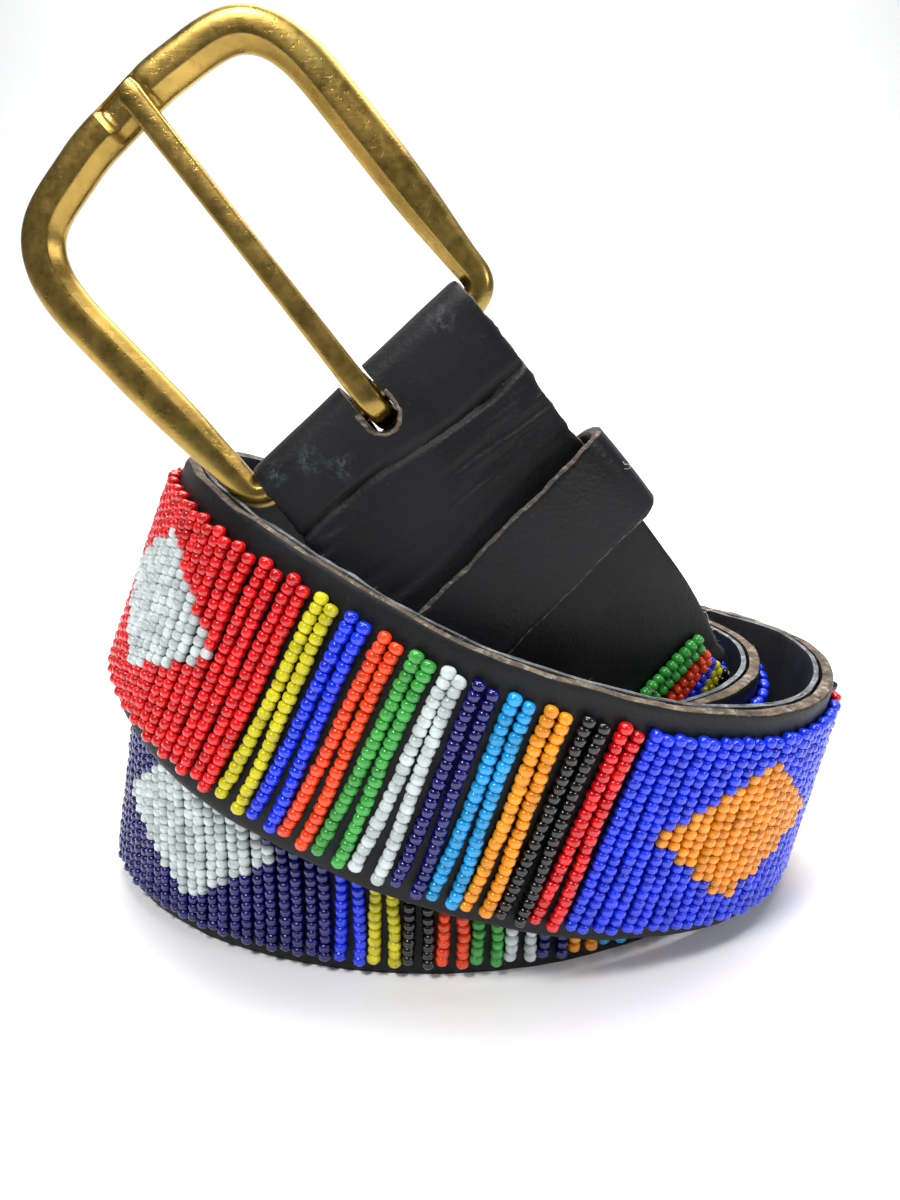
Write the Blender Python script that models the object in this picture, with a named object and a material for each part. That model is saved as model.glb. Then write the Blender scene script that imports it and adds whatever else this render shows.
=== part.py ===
"""Beaded leather belt, lying coiled on its edge with the buckle end standing up.

The belt is a ribbon that follows one route: it starts at the fold round the buckle's bar, runs
down into the coil, goes round two and a half times and ends at the plain tip. A place on the belt
is given by its distance along the route, its distance across the width and its distance out from
the middle of the leather. Lengths are in metres and +Z is up.
"""
import math

import bmesh
import bpy
import numpy as np
from mathutils import Matrix, Vector

# Strap: width, its two leather layers and the glue line between them
STRAP_WIDTH = 0.0400
FACE_THICKNESS = 0.0022
LINING_THICKNESS = 0.0011
LAYER_CLEARANCE = 0.0003

# Coil: half length and half depth of its plan, and the room left between two turns
COIL_HALF_LENGTH = 0.0640
COIL_HALF_DEPTH = 0.0495
TURN_CLEARANCE = 0.0004

# Beadwork: height of the beads, bare margin along each edge, pitch of a pair of columns
BEAD_HEIGHT = 0.0019
BEAD_CLEARANCE = 0.0003
BEAD_MARGIN = 0.0030
PAIR_PITCH = 0.0051
PAIR_GAP = 0.0009
BLOCK_LENGTH = 0.0520
BEADS_START = 0.0666
WEB_HEIGHT = 0.0007

# Fold at the buckle: bar, running clearance, slot for the tongue and the end turned back
BAR_RADIUS = 0.0019
BAR_CLEARANCE = 0.0004
TONGUE_WIDTH = 0.0036
SLOT_CLEARANCE = 0.0005
SLOT_END = 0.0112
SEAM_PLACE = 0.0145
TURNED_END = 0.0420

# Keeper: loop of leather behind the buckle
KEEPER_WIDTH = 0.0130
KEEPER_THICKNESS = 0.0018
KEEPER_PLACE = 0.0372
KEEPER_ROOM = 0.0042
KEEPER_TIGHT_ROOM = 0.0012
KEEPER_SIDE_ROOM = 0.0015
KEEPER_SIDE_BULGE = 0.0026
KEEPER_BACK_ROOM = 0.0005
KEEPER_SKEW_DEG = 4.0
KEEPER_FLAT_SHARES = (0.25, 0.50, 0.75)

# Buckle frame and tongue
FRAME_WIDTH = 0.0555
FRAME_REACH = 0.0570
RAIL_WIDTH = 0.0064
RAIL_THICKNESS = 0.0038
FOOT_WIDTH = 0.0042
FRAME_SIDE_CLEARANCE = 0.0005
RECESS_WIDTH = 0.0066
RECESS_DEPTH = 0.0010
RECESS_SHIFT = 0.0014
RECESS_LIP = 0.0008
FOOT_LENGTH = 0.0112
TONGUE_THICKNESS = 0.0022
TONGUE_SKEW_DEG = 3.4
TONGUE_SEAT_CLEARANCE = 0.0003
TONGUE_REST_SHARE = 0.60
TONGUE_TIP_TAPER = 0.0012
TONGUE_CORNER_SHARE = 0.30
TONGUE_HOOK_END_DEG = 345.0
BUCKLE_TURN_DEG = 3.0

# Tail: punched holes and rounded tip
HOLE_DIAMETER = 0.0044
HOLE_COUNT = 5
HOLE_SIDES = 12
HOLE_PITCH = 0.0220
LAST_HOLE_FROM_TIP = 0.0420
TIP_LENGTH = 0.0180
TIP_END_SHARE = 0.30
TIP_SHARES = (0.35, 0.62, 0.82, 0.94, 1.0)

# Spacing of the cross sections that the ribbons are built from
SECTION_STEP = 0.0055
FOLD_SECTION_STEP = 0.0035
BEAD_SECTION_STEP = 0.0030

STRAP_THICKNESS = FACE_THICKNESS + LAYER_CLEARANCE + LINING_THICKNESS
TURN_SPACING = STRAP_THICKNESS + BEAD_CLEARANCE + BEAD_HEIGHT + TURN_CLEARANCE
FOLD_RADIUS = BAR_RADIUS + BAR_CLEARANCE + FACE_THICKNESS

# Route: one row for each station, from the fold to the tip.
# turn_deg goes anticlockwise round the coil seen from above, 0 at the right.
# reach is a share of the coil's half length and half depth, and inset counts turns of belt
# between this station and the outermost one. rise is the height of the lower edge as a share
# of the strap width, and lean_deg tips the upper edge outwards.
ROUTE_COLUMNS = ("turn_deg", "reach", "inset", "rise", "lean_deg")
ROUTE = (
    (-109, 0.785, 1.0, 1.942, -16),
    (-97, 0.818, 1.1, 1.690, -12),
    (-84, 0.852, 1.2, 1.350, -6),
    (-62, 0.878, 1.5, 0.820, 4),
    (-40, 0.920, 1.9, 0.330, 4),
    (-15, 0.932, 2.0, 0.080, 4),
    (15, 0.930, 2.0, 0.000, 2),
    (55, 0.950, 2.0, 0.000, 0),
    (90, 0.962, 2.0, 0.000, 0),
    (130, 1.000, 1.8, 0.000, -3),
    (165, 1.010, 1.3, 0.000, -10),
    (190, 1.015, 1.1, 0.000, -11),
    (225, 1.000, 1.0, 0.000, -3),
    (270, 0.968, 1.0, 0.000, 0),
    (300, 0.948, 1.0, 0.000, 0),
    (330, 0.950, 1.0, 0.000, 4),
    (350, 0.950, 1.0, 0.000, 5),
    (375, 0.970, 1.0, 0.000, 4),
    (415, 0.970, 1.0, 0.120, 0),
    (450, 0.960, 0.9, 0.400, -5),
    (490, 0.990, 0.6, 0.800, -18),
    (510, 0.950, 0.5, 0.920, -22),
    (540, 0.815, 0.2, 0.960, -22),
    (562, 0.830, 0.0, 0.965, -22),
    (581, 0.885, 0.0, 0.920, -20),
    (598, 0.950, 0.0, 0.815, -15),
    (613, 0.965, 0.0, 0.650, -8),
    (630, 0.990, 0.0, 0.440, 2),
    (645, 1.002, 0.0, 0.290, 6),
    (660, 1.005, 0.0, 0.160, 9),
    (675, 1.020, 0.0, 0.080, 10),
    (690, 1.020, 0.0, 0.030, 10),
    (720, 1.015, 0.0, 0.020, 8),
    (750, 1.000, 0.0, 0.000, 4),
    (790, 1.020, 0.0, 0.000, 0),
    (830, 1.100, 0.0, 0.000, 0),
    (868, 1.170, 0.0, 0.000, 0),
)
ROUTE_STEP_DEG = 0.5
ROUTE_SMOOTHING = 120

# Beadwork from the buckle end to the tail: kind, and how many pairs or blocks long it is
PATTERN = (
    ("stripes", 6),
    ("block", 1),
    ("stripes", 6),
    ("block", 1),
    ("stripes", 5),
    ("block", 1),
    ("stripes", 10),
    ("block", 1),
    ("stripes", 10),
    ("block", 1),
    ("stripes", 10),
    ("block", 1),
    ("stripes", 10),
    ("block", 1),
    ("stripes", 6),
)
PATTERN_GAP = 0.0004
RIDGE_BEVEL_SHARE = 0.18
BLOCK_BEVEL_SHARE = 0.50
SHARP_ANGLE_DEG = 35.0

# Half of the buckle frame from the middle of the bar round to the middle of the top.
# across and up are shares of the rail's half spacing and of its height over the bar,
# flatness runs from 0 for the bar's round section to 1 for the rail's flat one.
FRAME_COLUMNS = ("across", "up", "flatness", "foot_share")
FRAME_ROWS = (
    (0.27, 0.000, 0.00, 1.0),
    (0.72, 0.000, 0.00, 1.0),
    (0.84, 0.004, 0.35, 1.0),
    (0.905, 0.030, 0.80, 1.0),
    (0.930, 0.085, 1.00, 1.0),
    (0.935, 0.170, 1.00, 0.7),
    (0.955, 0.300, 1.00, 0.2),
    (0.975, 0.450, 1.00, 0.0),
    (0.99, 0.600, 1.00, 0.0),
    (1.00, 0.720, 1.00, 0.0),
    (0.985, 0.810, 1.00, 0.0),
    (0.93, 0.885, 1.00, 0.0),
    (0.83, 0.940, 1.00, 0.0),
    (0.68, 0.970, 1.00, 0.0),
    (0.45, 0.988, 1.00, 0.0),
)

# Side of the keeper from its back to its front: bulge as a share of the widest, and height.
KEEPER_SIDE = (
    (0.00, 0.00),
    (0.80, 0.06),
    (1.00, 0.28),
    (1.00, 0.60),
    (0.75, 0.85),
    (0.30, 0.97),
    (-0.60, 1.00),
)

# Section of the rail: across its width and through its thickness, in shares of each half.
# The row starts at the inner edge, whose front is bevelled, and goes round by the front.
RAIL_SECTION = (
    (-1.00, -0.30),
    (-0.96, 0.35),
    (-0.45, 0.98),
    (0.30, 1.00),
    (0.85, 0.70),
    (1.00, 0.00),
    (0.85, -0.70),
    (0.30, -1.00),
    (-0.40, -1.00),
    (-0.88, -0.80),
)


def monotone_curve(xs, ys, x):
    """Smooth curve through the rows that doesn't overshoot them."""
    widths = np.diff(xs)
    slopes = np.diff(ys) / widths
    tangents = np.zeros(len(ys))
    tangents[0] = slopes[0]
    tangents[-1] = slopes[-1]
    for i in range(1, len(xs) - 1):
        if slopes[i - 1] * slopes[i] > 0.0:
            before = 2.0 * widths[i] + widths[i - 1]
            after = widths[i] + 2.0 * widths[i - 1]
            tangents[i] = (before + after) / (before / slopes[i - 1] + after / slopes[i])
    row = np.clip(np.searchsorted(xs, x) - 1, 0, len(xs) - 2)
    t = (x - xs[row]) / widths[row]
    start = (2 * t**3 - 3 * t**2 + 1) * ys[row] + (t**3 - 2 * t**2 + t) * widths[row] * tangents[row]
    end = (3 * t**2 - 2 * t**3) * ys[row + 1] + (t**3 - t**2) * widths[row] * tangents[row + 1]
    return start + end


def smoothed(values, passes):
    """Values with each one averaged with its neighbours, several times over."""
    out = values.copy()
    for _ in range(passes):
        out[1:-1] = (out[:-2] + 2.0 * out[1:-1] + out[2:]) / 4.0
    return out


class Route:
    """Centre line of the strap with its direction, width and outward vectors."""

    def __init__(self):
        """Work the route out from its table of stations."""
        table = np.array(ROUTE, dtype=float)
        turn = np.arange(table[0, 0], table[-1, 0] + ROUTE_STEP_DEG / 2.0, ROUTE_STEP_DEG)
        columns = {}
        for index, name in enumerate(ROUTE_COLUMNS[1:], start=1):
            curve = monotone_curve(table[:, 0], table[:, index], turn)
            columns[name] = smoothed(curve, ROUTE_SMOOTHING)
        angle = np.radians(turn)
        normal_x = np.cos(angle) / COIL_HALF_LENGTH
        normal_y = np.sin(angle) / COIL_HALF_DEPTH
        size = np.hypot(normal_x, normal_y)
        inset = columns["inset"] * TURN_SPACING
        x = COIL_HALF_LENGTH * columns["reach"] * np.cos(angle) - inset * normal_x / size
        y = COIL_HALF_DEPTH * columns["reach"] * np.sin(angle) - inset * normal_y / size
        z = columns["rise"] * STRAP_WIDTH
        points = np.stack([x, y, z], axis=1)
        step = np.gradient(points, axis=0)
        slope = np.arctan2(step[:, 2], np.hypot(step[:, 0], step[:, 1]))
        lean = np.radians(columns["lean_deg"])
        points[:, 2] += 0.5 * STRAP_WIDTH * np.cos(slope) * np.cos(lean)
        points[:, 2] += 0.5 * STRAP_THICKNESS * np.abs(np.sin(lean))
        lengths = np.linalg.norm(np.diff(points, axis=0), axis=1)
        along = np.concatenate([[0.0], np.cumsum(lengths)])
        self.length = along[-1]
        count = int(round(self.length / (SECTION_STEP / 4.0)))
        self.along = np.linspace(0.0, self.length, count + 1)
        self.points = np.stack([np.interp(self.along, along, points[:, k]) for k in range(3)], axis=1)
        self.lean = np.interp(self.along, along, lean)
        self.set_vectors()

    def set_vectors(self):
        """Find the direction, width and outward vectors at each point."""
        direction = np.gradient(self.points, axis=0)
        direction /= np.linalg.norm(direction, axis=1)[:, None]
        outward = np.stack([direction[:, 1], -direction[:, 0], np.zeros(len(direction))], axis=1)
        outward /= np.linalg.norm(outward, axis=1)[:, None]
        upright = np.cross(direction, -outward)
        cosine = np.cos(self.lean)[:, None]
        sine = np.sin(self.lean)[:, None]
        self.direction = direction
        self.width = upright * cosine + outward * sine
        self.outward = outward * cosine - upright * sine

    def at(self, along):
        """Centre point, direction, width and outward vectors at a distance along the route."""
        parts = []
        for rows in (self.points, self.direction, self.width, self.outward):
            parts.append(np.array([np.interp(along, self.along, rows[:, k]) for k in range(3)]))
        point, direction, width, outward = parts
        direction /= np.linalg.norm(direction)
        width -= direction * np.dot(width, direction)
        width /= np.linalg.norm(width)
        outward = np.cross(direction, width)
        return point, direction, width, outward


class Placer:
    """Turns places on the strap into points in space."""

    def __init__(self, route):
        """Keep the route that places refer to."""
        self.route = route

    def point(self, along, across, out):
        """Point at a distance along, across and out from the strap's middle."""
        centre, _, width, outward = self.route.at(along)
        return centre + width * across + outward * out


def material(name, colour, roughness, metallic=0.0):
    """Principled material of one sub-part."""
    made = bpy.data.materials.new(name)
    made.use_nodes = True
    shader = made.node_tree.nodes["Principled BSDF"]
    shader.inputs["Base Color"].default_value = (*colour, 1.0)
    shader.inputs["Roughness"].default_value = roughness
    shader.inputs["Metallic"].default_value = metallic
    return made


def add_object(name, vertices, faces, finish, round_shading=False):
    """Object made from vertices and faces, with its faces turned outwards."""
    mesh = bpy.data.meshes.new(name)
    mesh.from_pydata([tuple(v) for v in vertices], [], faces)
    work = bmesh.new()
    work.from_mesh(mesh)
    bmesh.ops.recalc_face_normals(work, faces=work.faces)
    bmesh.ops.triangulate(work, faces=work.faces, quad_method="FIXED")
    if work.calc_volume(signed=True) < 0.0:
        bmesh.ops.reverse_faces(work, faces=work.faces)
    work.to_mesh(mesh)
    work.free()
    mesh.materials.append(finish)
    if round_shading:
        mesh.shade_smooth()
        mesh.set_sharp_from_angle(angle=math.radians(SHARP_ANGLE_DEG))
    thing = bpy.data.objects.new(name, mesh)
    bpy.context.scene.collection.objects.link(thing)
    return thing


def sheet(rows, omitted=()):
    """Vertices and faces of a closed sheet.

    Each row holds the points across the sheet as pairs of an upper and a lower point. A cell,
    named by its row and its place in the row, is left open where omitted says so, and every edge
    of the sheet that has no neighbour gets a wall.
    """
    across = len(rows[0])
    vertices = []
    for row in rows:
        for upper, lower in row:
            vertices.extend((upper, lower))
    faces = []
    open_cells = set(omitted)

    def index(i, j, side):
        return (i * across + j) * 2 + side

    def is_solid(i, j):
        return 0 <= i < len(rows) - 1 and 0 <= j < across - 1 and (i, j) not in open_cells

    for i in range(len(rows) - 1):
        for j in range(across - 1):
            if not is_solid(i, j):
                continue
            corners = ((i, j), (i, j + 1), (i + 1, j + 1), (i + 1, j))
            upper = [index(a, b, 0) for a, b in corners]
            lower = [index(a, b, 1) for a, b in corners]
            for first, second in ((1, 2), (2, 3)):
                faces.append([upper[0], upper[first], upper[second]])
                faces.append([lower[0], lower[second], lower[first]])
            neighbours = ((i - 1, j), (i, j + 1), (i + 1, j), (i, j - 1))
            for side, other in enumerate(neighbours):
                if not is_solid(*other):
                    a, b = corners[side], corners[(side + 1) % 4]
                    faces.append([index(*a, 0), index(*a, 1), index(*b, 1), index(*b, 0)])
    used = sorted({v for face in faces for v in face})
    renumbered = {old: new for new, old in enumerate(used)}
    return [vertices[v] for v in used], [[renumbered[v] for v in face] for face in faces]


def loop_sweep(rings):
    """Vertices and faces of a closed loop of rings with equal counts of points."""
    size = len(rings[0])
    vertices = [point for ring in rings for point in ring]
    faces = []
    for i in range(len(rings)):
        following = (i + 1) % len(rings)
        for j in range(size):
            k = (j + 1) % size
            faces.append([i * size + j, i * size + k, following * size + k, following * size + j])
    return vertices, faces


def capped_sweep(rings):
    """Vertices and faces of an open run of rings, closed by a cap at each end."""
    size = len(rings[0])
    vertices = [point for ring in rings for point in ring]
    faces = []
    for i in range(len(rings) - 1):
        for j in range(size):
            k = (j + 1) % size
            faces.append([i * size + j, i * size + k, (i + 1) * size + k, (i + 1) * size + j])
    faces.append(list(range(size)))
    faces.append([(len(rings) - 1) * size + j for j in reversed(range(size))])
    return vertices, faces


def section_places(start, end, step):
    """Distances along the strap from start to end, no further apart than the step."""
    count = max(1, math.ceil((end - start) / step - 1e-6))
    return [start + (end - start) * i / count for i in range(count + 1)]


def half_width(along, length):
    """Half of the strap's width, which rounds off at the tip."""
    into_tip = (along - (length - TIP_LENGTH)) / TIP_LENGTH
    if into_tip <= 0.0:
        return STRAP_WIDTH / 2.0
    share = math.sqrt(max(0.0, 1.0 - into_tip**2))
    return STRAP_WIDTH / 2.0 * max(TIP_END_SHARE, share)


def strap_row(placer, along, upper, lower, length):
    """Points across one section of a strap layer between two distances out."""
    half = half_width(along, length)
    slot = TONGUE_WIDTH / 2.0 + SLOT_CLEARANCE
    row = []
    for across in (-half, -slot, slot, half):
        row.append((placer.point(along, across, upper), placer.point(along, across, lower)))
    return row


def strap_places(length):
    """Distances of the strap's sections from the slot's end to the rounded tip."""
    places = section_places(SLOT_END, length - TIP_LENGTH, SECTION_STEP)
    places += [length - TIP_LENGTH * (1.0 - share) for share in TIP_SHARES]
    return places


def fold_rows(placer):
    """Rows of the turned end and the fold, from the turned end's edge to the strap's face."""
    face_middle = (STRAP_THICKNESS - FACE_THICKNESS) / 2.0
    back_middle = face_middle - FACE_THICKNESS - LAYER_CLEARANCE
    axis_out = STRAP_THICKNESS / 2.0 - FOLD_RADIUS
    fold_middle = FOLD_RADIUS - FACE_THICKNESS / 2.0
    slot = TONGUE_WIDTH / 2.0 + SLOT_CLEARANCE
    half = STRAP_WIDTH / 2.0
    places = []
    for along in reversed(section_places(SEAM_PLACE, TURNED_END, SECTION_STEP)):
        places.append((along, back_middle, 180.0))
    blend = section_places(0.0, 1.0, 0.2)[1:-1]
    drop = axis_out - fold_middle
    for share in blend:
        along = SEAM_PLACE + (FOLD_RADIUS - SEAM_PLACE) * share
        ease = share * share * (3.0 - 2.0 * share)
        tilt = math.degrees(math.atan((back_middle - drop) * 6.0 * share * (1.0 - share)
                                      / (SEAM_PLACE - FOLD_RADIUS)))
        places.append((along, back_middle + (drop - back_middle) * ease, 180.0 - tilt))
    rows = []
    for along, out, angle in places:
        rows.append(turned_row(placer, along, 0.0, out, angle, half, slot))
    for angle in np.linspace(180.0, 0.0, 9):
        ahead = -fold_middle * math.sin(math.radians(angle))
        out = axis_out + fold_middle * math.cos(math.radians(angle))
        rows.append(turned_row(placer, FOLD_RADIUS, ahead, out, angle, half, slot))
    return rows


def turned_row(placer, along, ahead, out, angle, half, slot):
    """Points across one section of the fold, whose upper side faces the angle."""
    centre, direction, width, outward = placer.route.at(along)
    middle = centre + direction * ahead + outward * out
    turn = math.radians(angle)
    normal = outward * math.cos(turn) - direction * math.sin(turn)
    reach = normal * (FACE_THICKNESS / 2.0)
    row = []
    for across in (-half, -slot, slot, half):
        point = middle + width * across
        row.append((point + reach, point - reach))
    return row


def build_strap_face(placer, finish):
    """Outer leather: turned end, fold round the bar and the whole length to the tip."""
    length = placer.route.length
    upper = STRAP_THICKNESS / 2.0
    lower = upper - FACE_THICKNESS
    rows = fold_rows(placer)
    first_slot_row = len(section_places(SEAM_PLACE, TURNED_END, SECTION_STEP))
    slotted = section_places(FOLD_RADIUS, SLOT_END, FOLD_SECTION_STEP)[1:]
    last_slot_row = len(rows) - 1 + len(slotted)
    for along in slotted + strap_places(length)[1:]:
        rows.append(strap_row(placer, along, upper, lower, length))
    omitted = [(i, 1) for i in range(first_slot_row, last_slot_row)]
    vertices, faces = sheet(rows, omitted)
    return add_object("strap_face", vertices, faces, finish)


def build_strap_lining(placer, finish):
    """Inner leather, from the edge of the turned end to the tip."""
    length = placer.route.length
    lower = -STRAP_THICKNESS / 2.0
    upper = lower + LINING_THICKNESS
    start = TURNED_END + 2.0 * LAYER_CLEARANCE
    places = [start] + [along for along in strap_places(length) if along > start + FOLD_SECTION_STEP]
    rows = [strap_row(placer, along, upper, lower, length) for along in places]
    vertices, faces = sheet(rows)
    return add_object("strap_lining", vertices, faces, finish)


def punch_holes(placer, layers):
    """Cut the row of holes in the tail through both layers."""
    length = placer.route.length
    vertices = []
    faces = []
    for number in range(HOLE_COUNT):
        along = length - LAST_HOLE_FROM_TIP - HOLE_PITCH * number
        centre, direction, width, outward = placer.route.at(along)
        rings = []
        for depth in (-STRAP_THICKNESS, STRAP_THICKNESS):
            ring = []
            for k in range(HOLE_SIDES):
                angle = 2.0 * math.pi * k / HOLE_SIDES
                edge = direction * math.cos(angle) + width * math.sin(angle)
                ring.append(centre + edge * (HOLE_DIAMETER / 2.0) + outward * depth)
            rings.append(ring)
        some, more = capped_sweep(rings)
        faces.extend([[v + len(vertices) for v in face] for face in more])
        vertices.extend(some)
    cutter = add_object("hole_cutter", vertices, faces, layers[0].data.materials[0])
    cutter.hide_render = True
    cutter.display_type = "WIRE"
    for layer in layers:
        cut = layer.modifiers.new("holes", "BOOLEAN")
        cut.operation = "DIFFERENCE"
        cut.solver = "EXACT"
        cut.object = cutter
    return cutter


def bead_row(placer, along, height):
    """Section of the beadwork: a flat underside and a top at the given height."""
    half = STRAP_WIDTH / 2.0 - BEAD_MARGIN
    under = STRAP_THICKNESS / 2.0 + BEAD_CLEARANCE
    return [(placer.point(along, across, under + height), placer.point(along, across, under))
            for across in (-half, 0.0, half)]


def build_stripes(placer, name, start, pairs, finish):
    """Field of stripes: a thin web that carries one ridge for each pair of bead columns."""
    rows = []
    ridge = PAIR_PITCH - PAIR_GAP
    bevel = ridge * RIDGE_BEVEL_SHARE
    for number in range(pairs):
        left = start + number * PAIR_PITCH + PAIR_GAP / 2.0
        rows.append(bead_row(placer, left, WEB_HEIGHT))
        rows.append(bead_row(placer, left + bevel, BEAD_HEIGHT))
        rows.append(bead_row(placer, left + ridge - bevel, BEAD_HEIGHT))
        rows.append(bead_row(placer, left + ridge, WEB_HEIGHT))
    vertices, faces = sheet(rows)
    return add_object(name, vertices, faces, finish)


def build_block(placer, name, start, finish):
    """Solid block of beads with sloping ends."""
    bevel = BEAD_HEIGHT * BLOCK_BEVEL_SHARE
    places = section_places(start + bevel, start + BLOCK_LENGTH - bevel, BEAD_SECTION_STEP)
    rows = [bead_row(placer, start, WEB_HEIGHT)]
    rows += [bead_row(placer, along, BEAD_HEIGHT) for along in places]
    rows.append(bead_row(placer, start + BLOCK_LENGTH, WEB_HEIGHT))
    vertices, faces = sheet(rows)
    return add_object(name, vertices, faces, finish)


def build_beadwork(placer, finishes):
    """All the fields of stripes and blocks, laid end to end along the strap."""
    start = BEADS_START
    counts = {"stripes": 0, "block": 0}
    made = []
    for kind, amount in PATTERN:
        counts[kind] += 1
        name = "beads_{}_{}".format(kind, counts[kind])
        if kind == "stripes":
            made.append(build_stripes(placer, name, start, amount, finishes[kind]))
            start += amount * PAIR_PITCH
        else:
            made.append(build_block(placer, name, start + PATTERN_GAP / 2.0, finishes[kind]))
            start += BLOCK_LENGTH + PATTERN_GAP
    return made


def between(first, last):
    """Places that divide the straight stretch from the first point to the last one."""
    return [first + (last - first) * share for share in KEEPER_FLAT_SHARES]


def keeper_path():
    """Inner path of the keeper as places across and out, round the strap and closed."""
    face = STRAP_THICKNESS / 2.0
    low = face - 2.0 * FACE_THICKNESS - LAYER_CLEARANCE - KEEPER_BACK_ROOM
    start = STRAP_WIDTH / 2.0 + KEEPER_SIDE_ROOM - KEEPER_SIDE_BULGE
    sides = []
    for side, room in ((1.0, KEEPER_ROOM), (-1.0, KEEPER_TIGHT_ROOM)):
        high = face + room
        sides.append([np.array([side * (start + KEEPER_SIDE_BULGE * bulge), low + (high - low) * height])
                      for bulge, height in KEEPER_SIDE])
    right, left = sides
    return right + between(right[-1], left[-1]) + left[::-1] + between(left[0], right[0])


def build_keeper(placer, finish):
    """Loop of leather round the strap, close to its back and roomy at the front."""
    path = keeper_path()
    skew = math.tan(math.radians(KEEPER_SKEW_DEG))
    rings = []
    for i, point in enumerate(path):
        ahead = path[(i + 1) % len(path)] - path[i - 1]
        ahead /= np.linalg.norm(ahead)
        thick = np.array([ahead[1], -ahead[0]]) * KEEPER_THICKNESS
        ring = []
        for edge, layer in ((-0.5, 0.0), (-0.5, 1.0), (0.0, 1.0), (0.5, 1.0), (0.5, 0.0), (0.0, 0.0)):
            along = KEEPER_PLACE + edge * KEEPER_WIDTH - point[0] * skew
            across, out = point + thick * layer
            ring.append(placer.point(along, across, out))
        rings.append(ring)
    vertices, faces = loop_sweep(rings)
    return add_object("keeper", vertices, faces, finish, round_shading=True)


class BuckleSpace:
    """Buckle's own axes: across along the bar, up away from the strap, front outwards."""

    def __init__(self, placer):
        """Set the axes on the middle of the bar."""
        centre, direction, width, outward = placer.route.at(FOLD_RADIUS)
        axis_out = STRAP_THICKNESS / 2.0 - FOLD_RADIUS
        turn = math.radians(BUCKLE_TURN_DEG)
        self.origin = centre + outward * axis_out
        self.across = width
        self.up = -direction * math.cos(turn) + outward * math.sin(turn)
        self.front = outward * math.cos(turn) + direction * math.sin(turn)

    def vector(self, across, up, front):
        """Vector from the middle of the bar."""
        return self.across * across + self.up * up + self.front * front


def frame_path():
    """Whole centre line of the buckle frame: rows of FRAME_COLUMNS, each with its recess depth."""
    half = [np.array(row, dtype=float) for row in FRAME_ROWS]
    recess = RECESS_WIDTH / 2.0
    rail_half = FRAME_WIDTH / 2.0 - RAIL_WIDTH / 2.0
    top = []
    for place, deep in ((recess + RECESS_LIP, 0.0), (recess, 1.0),
                        (-recess, 1.0), (-recess - RECESS_LIP, 0.0)):
        across = (place + RECESS_SHIFT) / rail_half
        top.append((np.array([across, 1.0, 1.0, 0.0]), deep))
    rows = [(row, 0.0) for row in half] + top
    mirror = np.array([-1.0, 1.0, 1.0, 1.0])
    rows += [(row * mirror, 0.0) for row in reversed(half)]
    return rows


def build_frame(space, finish):
    """Cast frame in one piece with its bar."""
    rail_half = FRAME_WIDTH / 2.0 - RAIL_WIDTH / 2.0
    rail_up = FRAME_REACH - RAIL_WIDTH / 2.0
    inner_limit = STRAP_WIDTH / 2.0 + FRAME_SIDE_CLEARANCE
    rows = frame_path()
    centres = []
    for row, _ in rows:
        across = row[0] * rail_half
        width = RAIL_WIDTH + (FOOT_WIDTH - RAIL_WIDTH) * row[3]
        up = row[1] * rail_up
        if BAR_RADIUS / 2.0 < up < FOOT_LENGTH:
            across = math.copysign(max(abs(across), inner_limit + width / 2.0), across)
        centres.append(np.array([across, up]))
    rings = []
    for i, (row, deep) in enumerate(rows):
        ahead = centres[(i + 1) % len(rows)] - centres[i - 1]
        ahead /= np.linalg.norm(ahead)
        outside = np.array([ahead[1], -ahead[0]])
        width = RAIL_WIDTH + (FOOT_WIDTH - RAIL_WIDTH) * row[3]
        flat = row[2]
        ring = []
        for number, (a, b) in enumerate(RAIL_SECTION):
            angle = math.atan2(b, a)
            round_point = np.array([math.cos(angle), math.sin(angle)]) * BAR_RADIUS
            flat_point = np.array([a * width / 2.0, b * RAIL_THICKNESS / 2.0])
            if deep and b > 0.5:
                flat_point[1] -= RECESS_DEPTH
            point = round_point * (1.0 - flat) + flat_point * flat
            place = centres[i] + outside * point[0]
            ring.append(space.vector(place[0], place[1], point[1]))
        rings.append(ring)
    vertices, faces = loop_sweep(rings)
    frame = add_object("buckle_frame", vertices, faces, finish, round_shading=True)
    frame.location = space.origin
    return frame


def tongue_section(width, thickness):
    """Rounded section of the tongue, in shares that keep its edges soft."""
    w = width / 2.0
    t = thickness / 2.0
    w_in = w * (1.0 - TONGUE_CORNER_SHARE)
    t_in = t * (1.0 - TONGUE_CORNER_SHARE)
    return ((-w, -t_in), (-w, t_in), (-w_in, t), (w_in, t), (w, t_in), (w, -t_in), (w_in, -t), (-w_in, -t))


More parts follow.
